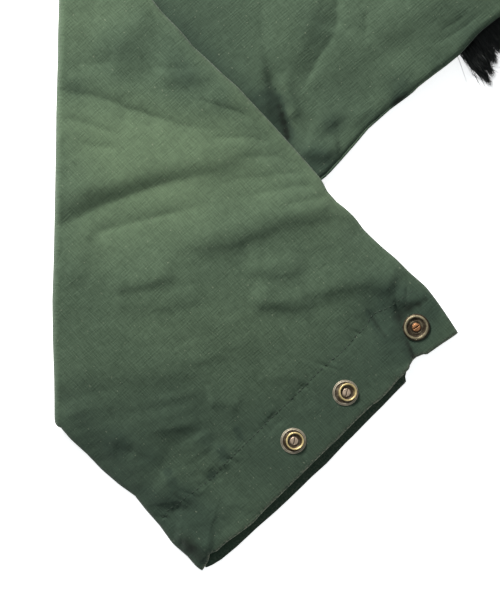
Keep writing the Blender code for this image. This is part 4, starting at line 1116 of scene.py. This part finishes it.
# placket over the closure
u, v = edge_shares(n(40), 0.4), np.linspace(0, 1, n(260))
gu, gv = np.meshgrid(u, v)
top = NECK[1] - FRONT_NECK_DEPTH * np.sqrt(np.clip(1 - ((2 * gu - 1) * 29.0 / 95.0) ** 2, 0, 1))
gy = HEM_Y + (top - HEM_Y) * gv
gx = (2 * gu - 1) * 29.8 + 0.5 * value_noise(gv * 22, gu * 0, 6)
gz = np.maximum(front_z(gx, gy, -1), front_z(gx, gy, 1)) + 1.15
rim = np.minimum(gu, 1 - gu) * 60.0
gz += (0.35 * smooth((8 - rim) / 1.4) - 0.3 * np.exp(-((rim - 8.2) / 0.9) ** 2)
       + 0.5 * smooth(rim / 6.0) + 0.5 * value_noise(gx / 18, gy / 40, 44) * smooth(rim / 9.0))
grid = np.stack([gx, gy, gz], -1)
placket = sheet_object("placket_shell", grid, [SHELL, INSIDE_TONE_AND_SHADE], plan_uv(gx, gy),
                       {"wear": 0.5 * np.exp(-rim / 0.6), "fade": 0.2 + 0.3 * value_noise(gx / 60, gy / 90, 17)}, flip=False)
as_piece(placket, "trim_cloth", "placket")

# ------------------------------------------------------------------ collar
qs = np.linspace(0, 1, n(34))
rows = []
for w in np.linspace(0, 1, n(26)):
    half_x = -(NECK[0] + (COLLAR_TOP[0] - NECK[0]) * w) - 0.5
    side_y = NECK[1] + 0.35 + (COLLAR_TOP[1] - NECK[1]) * w
    front_dip = (FRONT_NECK_DEPTH - 0.5) * (1 - w) + COLLAR_FRONT_DIP * w
    back_dip = (BACK_NECK_DEPTH - 0.5) * (1 - w) + COLLAR_BACK_DIP * w

    def flat(q, dip, which, side):
        fx = side * np.maximum(0.4, half_x * q)
        fy = side_y - dip * np.sqrt(np.clip(1 - q * q, 0, 1))
        if which == "front":
            fz = np.maximum(front_level(fx, fy), back_level(fx, fy) + 2.6 + 0 * fx)
            fz = fz + 1.4 * np.sin(np.pi * w) * smooth((1 - q) / 0.3) - 0.5 * math.exp(-(w * 60 / 2.0) ** 2)
            fz = fz + 0.8 * value_noise(fx / 16 + 3, fy / 26, 23) * smooth((1 - q) / 0.2) * math.sin(math.pi * min(1, w * 1.3 + 0.1))
        else:
            fz = back_level(fx, fy) + 0.0 * fx
        return np.stack([fx, fy, fz], -1)

    def turn(side):
        x0 = side * half_x
        lo, hi = float(back_level(np.array(x0), np.array(side_y))), float(back_level(np.array(x0), np.array(side_y))) + 2.6
        hi = max(hi, float(front_level(np.array(x0), np.array(side_y))))
        a = np.linspace(0, np.pi, 9)[1:-1]
        rad = (hi - lo) / 2
        return np.stack([x0 - side * rad * (1 - np.sin(a)), side_y + 0 * a, (hi + lo) / 2 + rad * np.cos(a)], -1)

    rows.append(np.concatenate([flat(qs, front_dip, "front", 1), turn(1), flat(qs[::-1], back_dip, "back", 1)[:-1],
                                flat(qs, back_dip, "back", -1), turn(-1)[::-1], flat(qs[::-1], front_dip, "front", -1)]))
grid = np.array(rows)
arc = np.concatenate([np.zeros((grid.shape[0], 1)), np.cumsum(np.linalg.norm(np.diff(grid, axis=1), axis=2), 1)], 1)
w = np.linspace(0, 1, grid.shape[0])
uv = np.stack([arc * 0.001, np.repeat(w[:, None] * 0.062, grid.shape[1], 1)], -1)
collar = sheet_object("collar_shell", grid, [SHELL, INSIDE_TONE_AND_SHADE], uv,
                      {"wear": np.repeat(0.6 * np.exp(-(1 - w) * 62 / 0.7)[:, None], grid.shape[1], 1), "fade": 0.25 + 0 * arc},
                      flip=True)
as_piece(collar, "trim_cloth", "collar")

# ------------------------------------------------------------------ hood, folded flat under the shoulder
closed = list(HOOD_OUTLINE) + [HOOD_OUTLINE[0]]
m = n(260)
ring = resample(closed, np.arange(m) / m)
mid = np.array((-190.0, 330.0))
steps = n(26)
layers = []
for k in range(steps + 1):
    r = 1 - 0.97 * (1 - k / steps)
    p = mid + (ring - mid) * r * (1 - 0.004 * (k == steps))
    h = 0.35 + 0.15 * value_noise(p[:, 0] / 20, p[:, 1] / 18, 3)
    layers.append(np.concatenate([p, h[:, None]], 1))
for k in range(steps + 1):
    r = 1 - 0.97 * k / steps
    p = mid + (ring - mid) * r * (1 - 0.003 * (k == 0))
    h = 1.9 + 0.35 * value_noise(p[:, 0] / 24, p[:, 1] / 20, 4) - 0.8 * math.exp(-k / 0.8)
    layers.append(np.concatenate([p, h[:, None]], 1))
g = np.array(layers)
g = np.concatenate([g, g[:, :1]], 1)
rr, cc = g.shape[:2]
idx = np.arange(rr * (cc - 1)).reshape(rr, cc - 1)
nxt = np.roll(idx, -1, 1)
faces = np.stack([idx[:-1], nxt[:-1], nxt[1:], idx[1:]], -1).reshape(-1, 4)
verts = np.concatenate([g[:, :-1].reshape(-1, 3), [g[0, :, :].mean(0), g[-1, :, :].mean(0)]])
nv = rr * (cc - 1)
cap0 = np.stack([nxt[0], idx[0], np.full(cc - 1, nv)], -1)
cap1 = np.stack([idx[-1], nxt[-1], np.full(cc - 1, nv + 1)], -1)
hood = mesh_object("hood_shell", verts, [faces, cap0, cap1], [SHELL], verts[:, :2] * 0.001,
                   {"wear": 0 * verts[:, 0], "fade": 0 * verts[:, 0]})
as_piece(hood, "shell_cloth", "hood")

# ------------------------------------------------------------------ fur ruff: a pelt band and its hair
SECTION = ((0.0, 0.1), (0.4, 0.1), (0.80, 0.1), (0.80, 0.7), (0.62, 2.4), (0.38, 4.6), (0.16, 5.0), (0.0, 2.8))
table = np.array(RUFF_ROWS)
along = np.minimum(487.0, np.interp(np.linspace(0, 1, n(150)), np.linspace(0, 1, len(table)), table[:, 0]) * 487.0 / 490.0)
rings = []
for k, a in enumerate(along):
    reach = np.interp(a, table[:, 0], table[:, 1]) * 0.86
    pinch = min(1.0, 0.25 + (a - along[0]) / 10.0, 0.25 + (along[-1] - a) / 14.0)
    for share, h in SECTION:
        b = 0.6 + (reach - 0.6) * share * pinch
        h = h * pinch * (1 + 0.12 * math.sin(a * 0.9 + share * 9)) + 0.1
        rings.append((RUFF_START[0] + RUFF_ALONG[0] * a + RUFF_ACROSS[0] * b, RUFF_START[1] + RUFF_ALONG[1] * a + RUFF_ACROSS[1] * b, h))
rings = np.array(rings)
s8 = len(SECTION)
idx = np.arange(len(rings)).reshape(-1, s8)
nxt = np.roll(idx, -1, 1)
faces = np.stack([idx[:-1], nxt[:-1], nxt[1:], idx[1:]], -1).reshape(-1, 4)
fan = lambda r, flip: np.array([(r[0], r[j + 1], r[j]) if flip else (r[0], r[j], r[j + 1]) for j in range(1, s8 - 1)])
ruff = mesh_object("ruff_pelt", rings, [faces, fan(idx[0], True), fan(idx[-1], False)], [FUR], None, {"wear": 0 * rings[:, 0]})
as_piece(ruff, "black_fur", "ruff")


FUR_ROWS = np.array(RUFF_ROWS[:-3] + ((465.5, 37.0), (469.0, 36.0), (473.0, 37.0), (477.5, 40.0), (481.0, 42.5), (484.3, 46.0), (486.2, 46.0), (488.0, 28.0)))
LOCKS = np.array([r[0] for r in RUFF_ROWS[:-3]] + [466.0, 471.5, 476.5, 481.0, 485.4])


def hair(name, count, a0, a1, seed, spread=1.0):
    """Tapered three-sided hairs, bent once, drawn together into locks."""
    rng = np.random.RandomState(seed)
    a = rng.uniform(a0, a1, count)
    reach = np.interp(a, FUR_ROWS[:, 0], FUR_ROWS[:, 1])
    b = rng.uniform(0.0, 0.72, count) * reach
    root_h = 0.6 + 4.2 * np.sin(np.pi * np.clip((b / reach) / 0.72, 0.02, 1)) ** 0.7 * rng.uniform(0.4, 1.0, count)
    locks = LOCKS[np.argmin(np.abs(a[:, None] - LOCKS[None, :]), 1)]
    pull = rng.uniform(0.15, 0.75, count)
    tip_b = reach * (rng.uniform(0.86, 1.03, count))
    tip_a = a + (locks - a) * pull + rng.normal(0, 1.7 * spread, count)
    wisp = rng.uniform(0, 1, count) > 0.97
    tip_a = tip_a + np.where(wisp, rng.normal(0, 5.0, count), 0)
    tip_b = tip_b * (1 - 0.35 * np.minimum(1, np.abs(locks - a) / 12.0) * (1 - pull)) + np.where(wisp, 1.5, 0)
    tip_h = rng.uniform(0.3, 5.2, count) * (0.5 + 0.5 * rng.uniform(0, 1, count))
    mid_a = a + (tip_a - a) * 0.5 + rng.normal(0, 0.9, count)
    mid_b = b + (tip_b - b) * 0.55
    mid_h = np.minimum(5.9, np.maximum(root_h, tip_h) * 0.6 + rng.uniform(0.4, 2.0, count))
    width = rng.uniform(0.13, 0.27, count)
    P = []
    for aa, bb, hh in ((a, b, root_h), (mid_a, mid_b, mid_h), (tip_a, tip_b, tip_h)):
        P.append(np.stack([RUFF_START[0] + RUFF_ALONG[0] * aa + RUFF_ACROSS[0] * bb,
                           RUFF_START[1] + RUFF_ALONG[1] * aa + RUFF_ACROSS[1] * bb, np.maximum(hh, 0.25)], -1))
    P = np.array(P)
    axis = P[2] - P[0]
    axis /= np.linalg.norm(axis, axis=1)[:, None] + 1e-9
    e1 = np.cross(axis, (0, 0, 1.0))
    e1 /= np.linalg.norm(e1, axis=1)[:, None] + 1e-9
    e2 = np.cross(axis, e1)
    V = []
    for r in range(2):
        for c in range(3):
            ang = 2 * math.pi * c / 3
            V.append(P[r] + (e1 * math.cos(ang) + e2 * math.sin(ang)) * (width * (1.0, 0.85)[r])[:, None])
    V.append(P[2])
    V = np.array(V).transpose(1, 0, 2)
    base = np.arange(count)[:, None] * 7
    quads = np.concatenate([base + np.array(q) for q in ((0, 1, 4, 3), (1, 2, 5, 4), (2, 0, 3, 5))])
    tris = np.concatenate([base + np.array(q) for q in ((3, 4, 6), (4, 5, 6), (5, 3, 6), (0, 2, 1))])
    tone = np.tile(np.array((0.0, 0.0, 0.0, 0.4, 0.4, 0.4, 1.0)), (count, 1)) * rng.uniform(0.2, 1.0, count)[:, None]
    ob = mesh_object(name, V.reshape(-1, 3), [quads, tris], [FUR], None, {"wear": tone.reshape(-1)})
    as_piece(ob, "black_fur", "ruff")
    return ob


hair("ruff_hair_end", 6600, 440.0, 486.6, 5, 0.45)
hair("ruff_hair_long", 4600, 3.0, 445.0, 6, 1.4)


# ------------------------------------------------------------------ snaps
# turned profiles: radius, height, rub (how bare the edge is worn)
# the socket's outer foot has rub 0 and shows the dark lacquer colour: partly its own patina, partly painted contact
# shadow round its edge
SOCKET = ((6.45, 0.0, 0.0), (6.5, 0.2, 0.0), (6.4, 0.4, 0.0), (6.15, 0.46, 0.0), (5.98, 0.58, 0.05), (5.85, 0.82, 0.55), (5.6, 1.02, 0.85),
          (5.25, 1.1, 0.72), (4.9, 1.04, 0.45), (4.65, 0.88, 0.3), (4.5, 0.66, 0.1), (4.36, 0.34, 0.0), (3.9, 0.22, 0.0), (3.4, 0.22, 0.04),
          (3.12, 0.32, 0.12), (2.95, 0.33, 0.1), (2.75, 0.25, 0.02), (2.6, 0.18, 0.0), (2.3, 0.18, 0.0), (2.15, 0.3, 0.1),
          (2.05, 0.55, 0.35), (1.8, 0.78, 0.6), (1.3, 0.9, 0.7), (0.8, 0.94, 0.55), (0.3, 0.94, 0.5), (0.0, 0.94, 0.5))
STUD = ((5.95, 0.0, 0.0), (6.2, 0.12, 0.3), (6.15, 0.3, 1.0), (5.95, 0.38, 0.9), (5.8, 0.34, 0.3), (5.62, 0.36, 0.4), (5.5, 0.48, 1.0),
        (5.3, 0.52, 0.8), (5.1, 0.44, 0.2), (4.9, 0.36, 0.0), (4.6, 0.32, 0.0), (4.28, 0.4, 0.0), (4.2, 0.64, 0.0), (4.12, 0.94, 0.1),
        (4.2, 1.26, 0.3), (4.28, 1.44, 0.8), (4.2, 1.57, 1.0), (4.0, 1.64, 1.0), (3.74, 1.62, 1.0), (3.54, 1.48, 0.6), (3.42, 1.26, 0.1),
        (3.3, 0.9, 0.0), (2.9, 0.72, 0.0), (2.4, 0.7, 0.0), (2.05, 0.74, 0.1), (1.95, 0.95, 0.45), (1.7, 1.1, 0.75),
        (1.2, 1.18, 0.8), (0.6, 1.2, 0.7), (0.0, 1.2, 0.7))
CAP = ((6.0, 0.0, 0.0), (6.25, 0.3, 0.2), (6.25, 0.7, 0.6), (6.05, 1.05, 0.9), (5.6, 1.25, 0.8), (5.2, 1.2, 0.3), (4.95, 1.12, 0.1),
       (4.6, 1.2, 0.4), (4.0, 1.45, 0.5), (3.0, 1.75, 0.5), (2.0, 1.92, 0.55), (1.0, 2.0, 0.6), (0.0, 2.02, 0.6))


def turned_snap(name, node, profile, spot, normal, lean=(0.0, 0.0), slit=0.0, rivet=2.0, turn=0.6, sides=72):
    """A turned snap part in plan millimetres, its raised part leaning by shares of the height."""
    prof = []
    for (r0, h0, w0), (r1, h1, w1) in zip(profile, profile[1:]):
        parts = 4 if r0 < 2.0 else 2
        for q in range(parts):
            f = q / parts
            prof.append((r0 + (r1 - r0) * f, h0 + (h1 - h0) * f, w0 + (w1 - w0) * f))
    prof.append(profile[-1])
    prof = np.array(prof)
    ang = np.linspace(0, 2 * np.pi, sides, endpoint=False)
    r, h, w = prof[:-1, 0][:, None], prof[:-1, 1][:, None], prof[:-1, 2][:, None]
    lx, ly = r * np.cos(ang), r * np.sin(ang)
    lh, lw = h + 0 * ang, w + 0 * ang
    if slit:
        cut = np.exp(-((lx * math.sin(turn) - ly * math.cos(turn)) / 0.26) ** 4) * (r < 1.75)
        lh = lh - slit * cut
        lw = lw * (1 - cut)
    tip = np.array([[0.0, 0.0, prof[-1, 1] - slit]])
    local = np.concatenate([np.stack([lx, ly, lh], -1).reshape(-1, 3), tip])
    rub = np.concatenate([lw.reshape(-1), [0.0 if slit else prof[-1, 2]]])
    rise = np.maximum(local[:, 2] - 0.5, 0)
    local[:, 0] += rise * lean[0]
    local[:, 1] += rise * lean[1]
    rr = len(prof) - 1
    idx = np.arange(rr * sides).reshape(rr, sides)
    nxt = np.roll(idx, -1, 1)
    quads = np.stack([idx[:-1], nxt[:-1], nxt[1:], idx[1:]], -1).reshape(-1, 4)
    centre = rr * sides
    cap = np.stack([idx[-1], nxt[-1], np.full(sides, centre)], -1)
    bottom = np.stack([nxt[0], idx[0], np.full(sides, centre + 1)], -1)
    local = np.concatenate([local, [[0.0, 0.0, 0.0]]])
    rub = np.concatenate([rub, [0.0]])
    nrm = np.array(normal)
    e1 = np.cross((0.0, 1.0, 0.0), nrm)
    e1 /= np.linalg.norm(e1)
    e2 = np.cross(nrm, e1)
    world = np.array(spot) + local[:, :1] * e1 + local[:, 1:2] * e2 + local[:, 2:3] * nrm
    ob = mesh_object(name, world, [quads, cap, bottom], [TAN if profile is SOCKET else BRASS, COPPER if profile is SOCKET else RIVET, GOLD], None, {"wear": rub})
    flat_r = np.concatenate([np.repeat(prof[:-1, 0], sides), [0.0, 0.0]])
    raised = (flat_r < 4.45) & (flat_r > 3.0) & (local[:, 2] > 0.85)
    mats = np.zeros(len(ob.data.polygons), np.int32)
    if rivet:
        inner = (flat_r < rivet + 0.05) & (local[:, 2] > 0.15)
        for p in ob.data.polygons:
            at = list(p.vertices)
            mats[p.index] = 1 if inner[at].all() else 2 if raised[at].all() else 0
    ob.data.polygons.foreach_set("material_index", mats)
    as_piece(ob, "antique_brass", node)
    return ob


def snap_spot(tree, x, y, radius=6.1):
    """Where a snap's base rests on the cloth: spot in plan millimetres, and the normal."""
    hits = []
    for k in range(16):
        for share in (0.35, 0.7, 1.0):
            a = math.pi * k / 8
            p, _ = drop(tree, x + radius * share * math.cos(a), y + radius * share * math.sin(a))
            if p is not None:
                hits.append((p.x * 1000, p.y * 1000 + CENTRE_Y, p.z * 1000))
    h = np.array(hits)
    A = np.c_[h[:, 0] - x, h[:, 1] - y, np.ones(len(h))]
    fit = np.linalg.lstsq(A, h[:, 2], rcond=None)[0]
    nrm = np.array((-fit[0], -fit[1], 1.0))
    nrm /= np.linalg.norm(nrm)
    high = np.max(h[:, 2] - A @ fit)
    return (x, y, fit[2] + min(high, 0.35)), nrm


for tag, side in (("r", -1), ("l", 1)):
    tree = tree_of(sleeves[tag]["back"])
    for name, spot, prof, lean, slit, rivet in (("cuff_socket", (416.6, 327.4), SOCKET, (0.0, 0.0), 0.5, 2.2),
                                                ("cuff_stud_upper", (345.2, 392.6), STUD, (1.15, 0.36), 0.4, 2.1),
                                                ("cuff_stud_lower", (293.3, 440.6), STUD, (0.78, 0.0), 0.4, 2.1)):
        mx, my = px(spot)
        place, nrm = snap_spot(tree, -side * mx, my)
        turned_snap(name + "_" + tag + "_brass", name + "_" + tag, prof, place, nrm,
                    (lean[0] * -side, lean[1]), slit, rivet, 0.6 if name == "cuff_socket" else 1.35)
tree = tree_of(placket)
for k, sy in enumerate((-225.0, -90.0, 45.0, 180.0, 315.0, 415.0)):
    place, nrm = snap_spot(tree, 0.0, sy)
    turned_snap("placket_snap_%d_brass" % (k + 1), "placket_snap_%d" % (k + 1), CAP, place, nrm, rivet=0.0, sides=56)
for tag, side in (("r", -1), ("l", 1)):
    tree = tree_of(pieces["flap_" + tag])
    # the CAD's snap stands on the flap's middle column
    half = HALF_HEM + (HALF_CHEST - HALF_HEM) * 190.0 / 458.0
    place, nrm = snap_spot(tree, side * half * 0.5, HEM_Y + 190.0 + 14.0)
    turned_snap("flap_snap_" + tag + "_brass", "flap_snap_" + tag, CAP, place, nrm, rivet=0.0, sides=56)


# ------------------------------------------------------------------ sewing
class Sewing:
    """Stitches lying on cloth, gathered into one mesh."""

    def __init__(self, name):
        self.name, self.verts, self.faces4, self.faces3 = name, [], [], []

    def run(self, tree, line, pitch=2.7, length=2.0, thick=0.22, sunk=0.05):
        total = sum(math.dist(a, b) for a, b in zip(line, line[1:]))
        count = int(total / pitch)
        if count < 1:
            return
        mids = resample(line, (np.arange(count) + 0.5) / count)
        ahead = resample(line, np.clip((np.arange(count) + 0.5) / count + 0.3 / total, 0, 1))
        for (mx, my), (nx, ny) in zip(mids, ahead):
            p, nrm = drop(tree, mx, my)
            if p is None:
                continue
            size = math.hypot(nx - mx, ny - my) or 1.0
            tx, ty = (nx - mx) / size, (ny - my) / size
            tang = Vector((tx, ty, 0.0))
            tang = (tang - nrm * tang.dot(nrm)).normalized()
            side = nrm.cross(tang)
            base = Vector((p.x * 1000, p.y * 1000 + CENTRE_Y, p.z * 1000)) - nrm * sunk
            start = len(self.verts)
            for f, s in ((-0.3, 1.0), (0.3, 1.0)):
                for c in range(5):
                    a = 2 * math.pi * c / 5 + 0.3
                    self.verts.append(base + tang * (length * f) + side * (thick * s * math.cos(a)) + nrm * (thick * s * math.sin(a)))
            self.verts.append(base - tang * (length * 0.5) - nrm * thick * 0.6)
            self.verts.append(base + tang * (length * 0.5) - nrm * thick * 0.6)
            for c in range(5):
                d = (c + 1) % 5
                self.faces4.append((start + c, start + d, start + 5 + d, start + 5 + c))
                self.faces3.append((start + d, start + c, start + 10))
                self.faces3.append((start + 5 + c, start + 5 + d, start + 11))

    def done(self):
        ob = mesh_object(self.name, np.array([tuple(v) for v in self.verts]), [np.array(self.faces4), np.array(self.faces3)], [THREAD])
        return as_piece(ob, "shell_cloth")


def offset_line(line, by):
    """A polyline moved to its left by so many millimetres."""
    p = resample(line, np.linspace(0, 1, 160), 1.0)
    d = np.gradient(p, axis=0)
    d /= np.linalg.norm(d, axis=1)[:, None]
    return [tuple(q) for q in p + np.stack([-d[:, 1], d[:, 0]], -1) * by]


sewn = {}
for tag, side in (("r", -1), ("l", 1)):
    sew = Sewing("stitches_sleeve_" + tag)
    tree = tree_of(sleeves[tag]["back"])
    c0, c1, out = cuff_line()
    flip = lambda line: [(-side * p[0], p[1]) for p in line]
    ts = np.linspace(0.012, 0.99, 60)
    far = np.interp(ts, [r[0] for r in CUFF_BACK], [r[1] for r in CUFF_BACK]) * PX
    line = [tuple(c0 + (c1 - c0) * a + out * (f - HEM_WIDTH + 0.4)) for a, f in zip(ts, far)]
    line = [(p[0], p[1]) for p in line]
    sew.run(tree, flip(line), 2.5, 1.9, 0.24)
    tree = tree_of(sleeves[tag]["front"])
    t = np.linspace(0.03, 0.97, 60)
    hx, hy = armhole(t, 4.0)
    sew.run(tree, flip(list(zip(hx, hy))), 2.8, 2.1, 0.22)
    sewn[tag] = sew.done()
sew = Sewing("stitches_body")
for tag, side in (("r", -1), ("l", 1)):
    tree = tree_of(pieces["front_" + tag])
    sew.run(tree, [(side * 33.0, HEM_Y + 23.6), (side * 304.0, HEM_Y + 23.6)], 2.9, 2.1, 0.24)
    t = np.linspace(0.03, 0.97, 60)
    hx, hy = armhole(t, -3.5)
    sew.run(tree, [(-side * a, b) for a, b in zip(hx, hy)], 2.9, 2.1, 0.24)
    tree = tree_of(pieces["pocket_" + tag])
    half = HALF_HEM + (HALF_CHEST - HALF_HEM) * 100.0 / 458.0
    for inset in (2.2, 7.4):
        xa, xb = half * 0.233 + inset, half * 0.833 - inset
        ya, yb = HEM_Y + 40 + inset, HEM_Y + 222
        box = [(xa, yb), (xa, ya + 7), (xa + 4, ya + 2), (xa + 9, ya), (xb - 9, ya), (xb - 4, ya + 2), (xb, ya + 7), (xb, yb)]
        sew.run(tree, [(side * a, b) for a, b in box], 2.9, 2.1, 0.24)
    tree = tree_of(pieces["flap_" + tag])
    for inset in (2.4, 7.4):
        xa, xb = half * 0.233 + inset, half * 0.833 - inset
        ya, yb = HEM_Y + 190 + inset, HEM_Y + 255 - 2.2
        box = [(xa, yb), (xa, ya + 6), (xa + 3, ya + 1.5), (xa + 8, ya), (xb - 8, ya), (xb - 3, ya + 1.5), (xb, ya + 6), (xb, yb)]
        sew.run(tree, [(side * a, b) for a, b in box], 2.9, 2.1, 0.24)
    sew.run(tree, [(side * (half * 0.233 + 3), HEM_Y + 252.6), (side * (half * 0.833 - 3), HEM_Y + 252.6)], 2.9, 2.1, 0.24)
tree = tree_of(placket)
for sx in (-27.6, -21.8, 21.8, 27.6):
    sew.run(tree, [(sx, HEM_Y + 3), (sx, 436.0)], 2.9, 2.1, 0.24)
tree = tree_of(collar)
for w in (0.045, 0.93):
    side_y = NECK[1] + 0.35 + (COLLAR_TOP[1] - NECK[1]) * w
    dip = (FRONT_NECK_DEPTH - 0.5) * (1 - w) + COLLAR_FRONT_DIP * w
    hx = (-(NECK[0] + (COLLAR_TOP[0] - NECK[0]) * w) - 0.5)
    for side in (-1, 1):
        q = np.linspace(0.02, 0.96, 50)
        sew.run(tree, [(side * hx * a, side_y - dip * math.sqrt(max(0, 1 - a * a))) for a in q], 2.9, 2.1, 0.24)
sew.done()


# ------------------------------------------------------------------ floor, light and camera
floor_mesh = bpy.data.meshes.new("floor")
floor_mesh.from_pydata([(-4, -4, -0.0003), (4, -4, -0.0003), (4, 4, -0.0003), (-4, 4, -0.0003)], [], [(0, 1, 2, 3)])
floor = bpy.data.objects.new("floor", floor_mesh)
bpy.context.scene.collection.objects.link(floor)
k = Nodes("pale floor")
k.shader.inputs["Base Color"].default_value = (0.86, 0.86, 0.86, 1.0)
k.shader.inputs["Roughness"].default_value = 0.95
k.shader.inputs["Specular IOR Level"].default_value = 0.1
k.shader.inputs["Emission Color"].default_value = (1.0, 1.0, 1.0, 1.0)
k.shader.inputs["Emission Strength"].default_value = 0.72
floor_mesh.materials.append(k.mat)

scene = bpy.context.scene
world = bpy.data.worlds.new("studio")
world.use_nodes = True
world.node_tree.nodes["Background"].inputs[0].default_value = (0.93, 1.0, 1.04, 1.0)
world.node_tree.nodes["Background"].inputs[1].default_value = 0.34
scene.world = world


def area_light(name, place, target, size, power, colour=(1.0, 1.0, 1.0)):
    light = bpy.data.lights.new(name, "AREA")
    light.shape = "DISK"
    light.size = size
    light.energy = power
    light.color = colour
    ob = bpy.data.objects.new(name, light)
    ob.location = place
    ob.rotation_mode = "QUATERNION"
    ob.rotation_quaternion = (Vector(target) - Vector(place)).to_track_quat("-Z", "Y")
    scene.collection.objects.link(ob)
    return ob


area_light("key", (-1.02, 0.80, 0.62), (-0.42, -0.12, 0.0), 0.30, 33.2, (1.0, 0.995, 0.965))
area_light("fill", (1.3, -1.2, 2.2), (0.0, 0.0, 0.0), 1.6, 9.0, (0.95, 1.0, 1.0))

camera_data = bpy.data.cameras.new("camera")
camera = bpy.data.objects.new("camera", camera_data)
scene.collection.objects.link(camera)
DISTANCE = 1.2
camera.location = (VIEW[0] * 0.001, (VIEW[1] - CENTRE_Y) * 0.001, DISTANCE + 0.006)
camera.rotation_euler = (0.0, 0.0, 0.0)
camera_data.sensor_width = 36.0
camera_data.lens = 36.0 * DISTANCE / (602 * PX * 0.001)
camera_data.clip_start = 0.05
camera_data.clip_end = 20.0
scene.camera = camera
scene.view_settings.view_transform = "Standard"
scene.view_settings.look = "None"
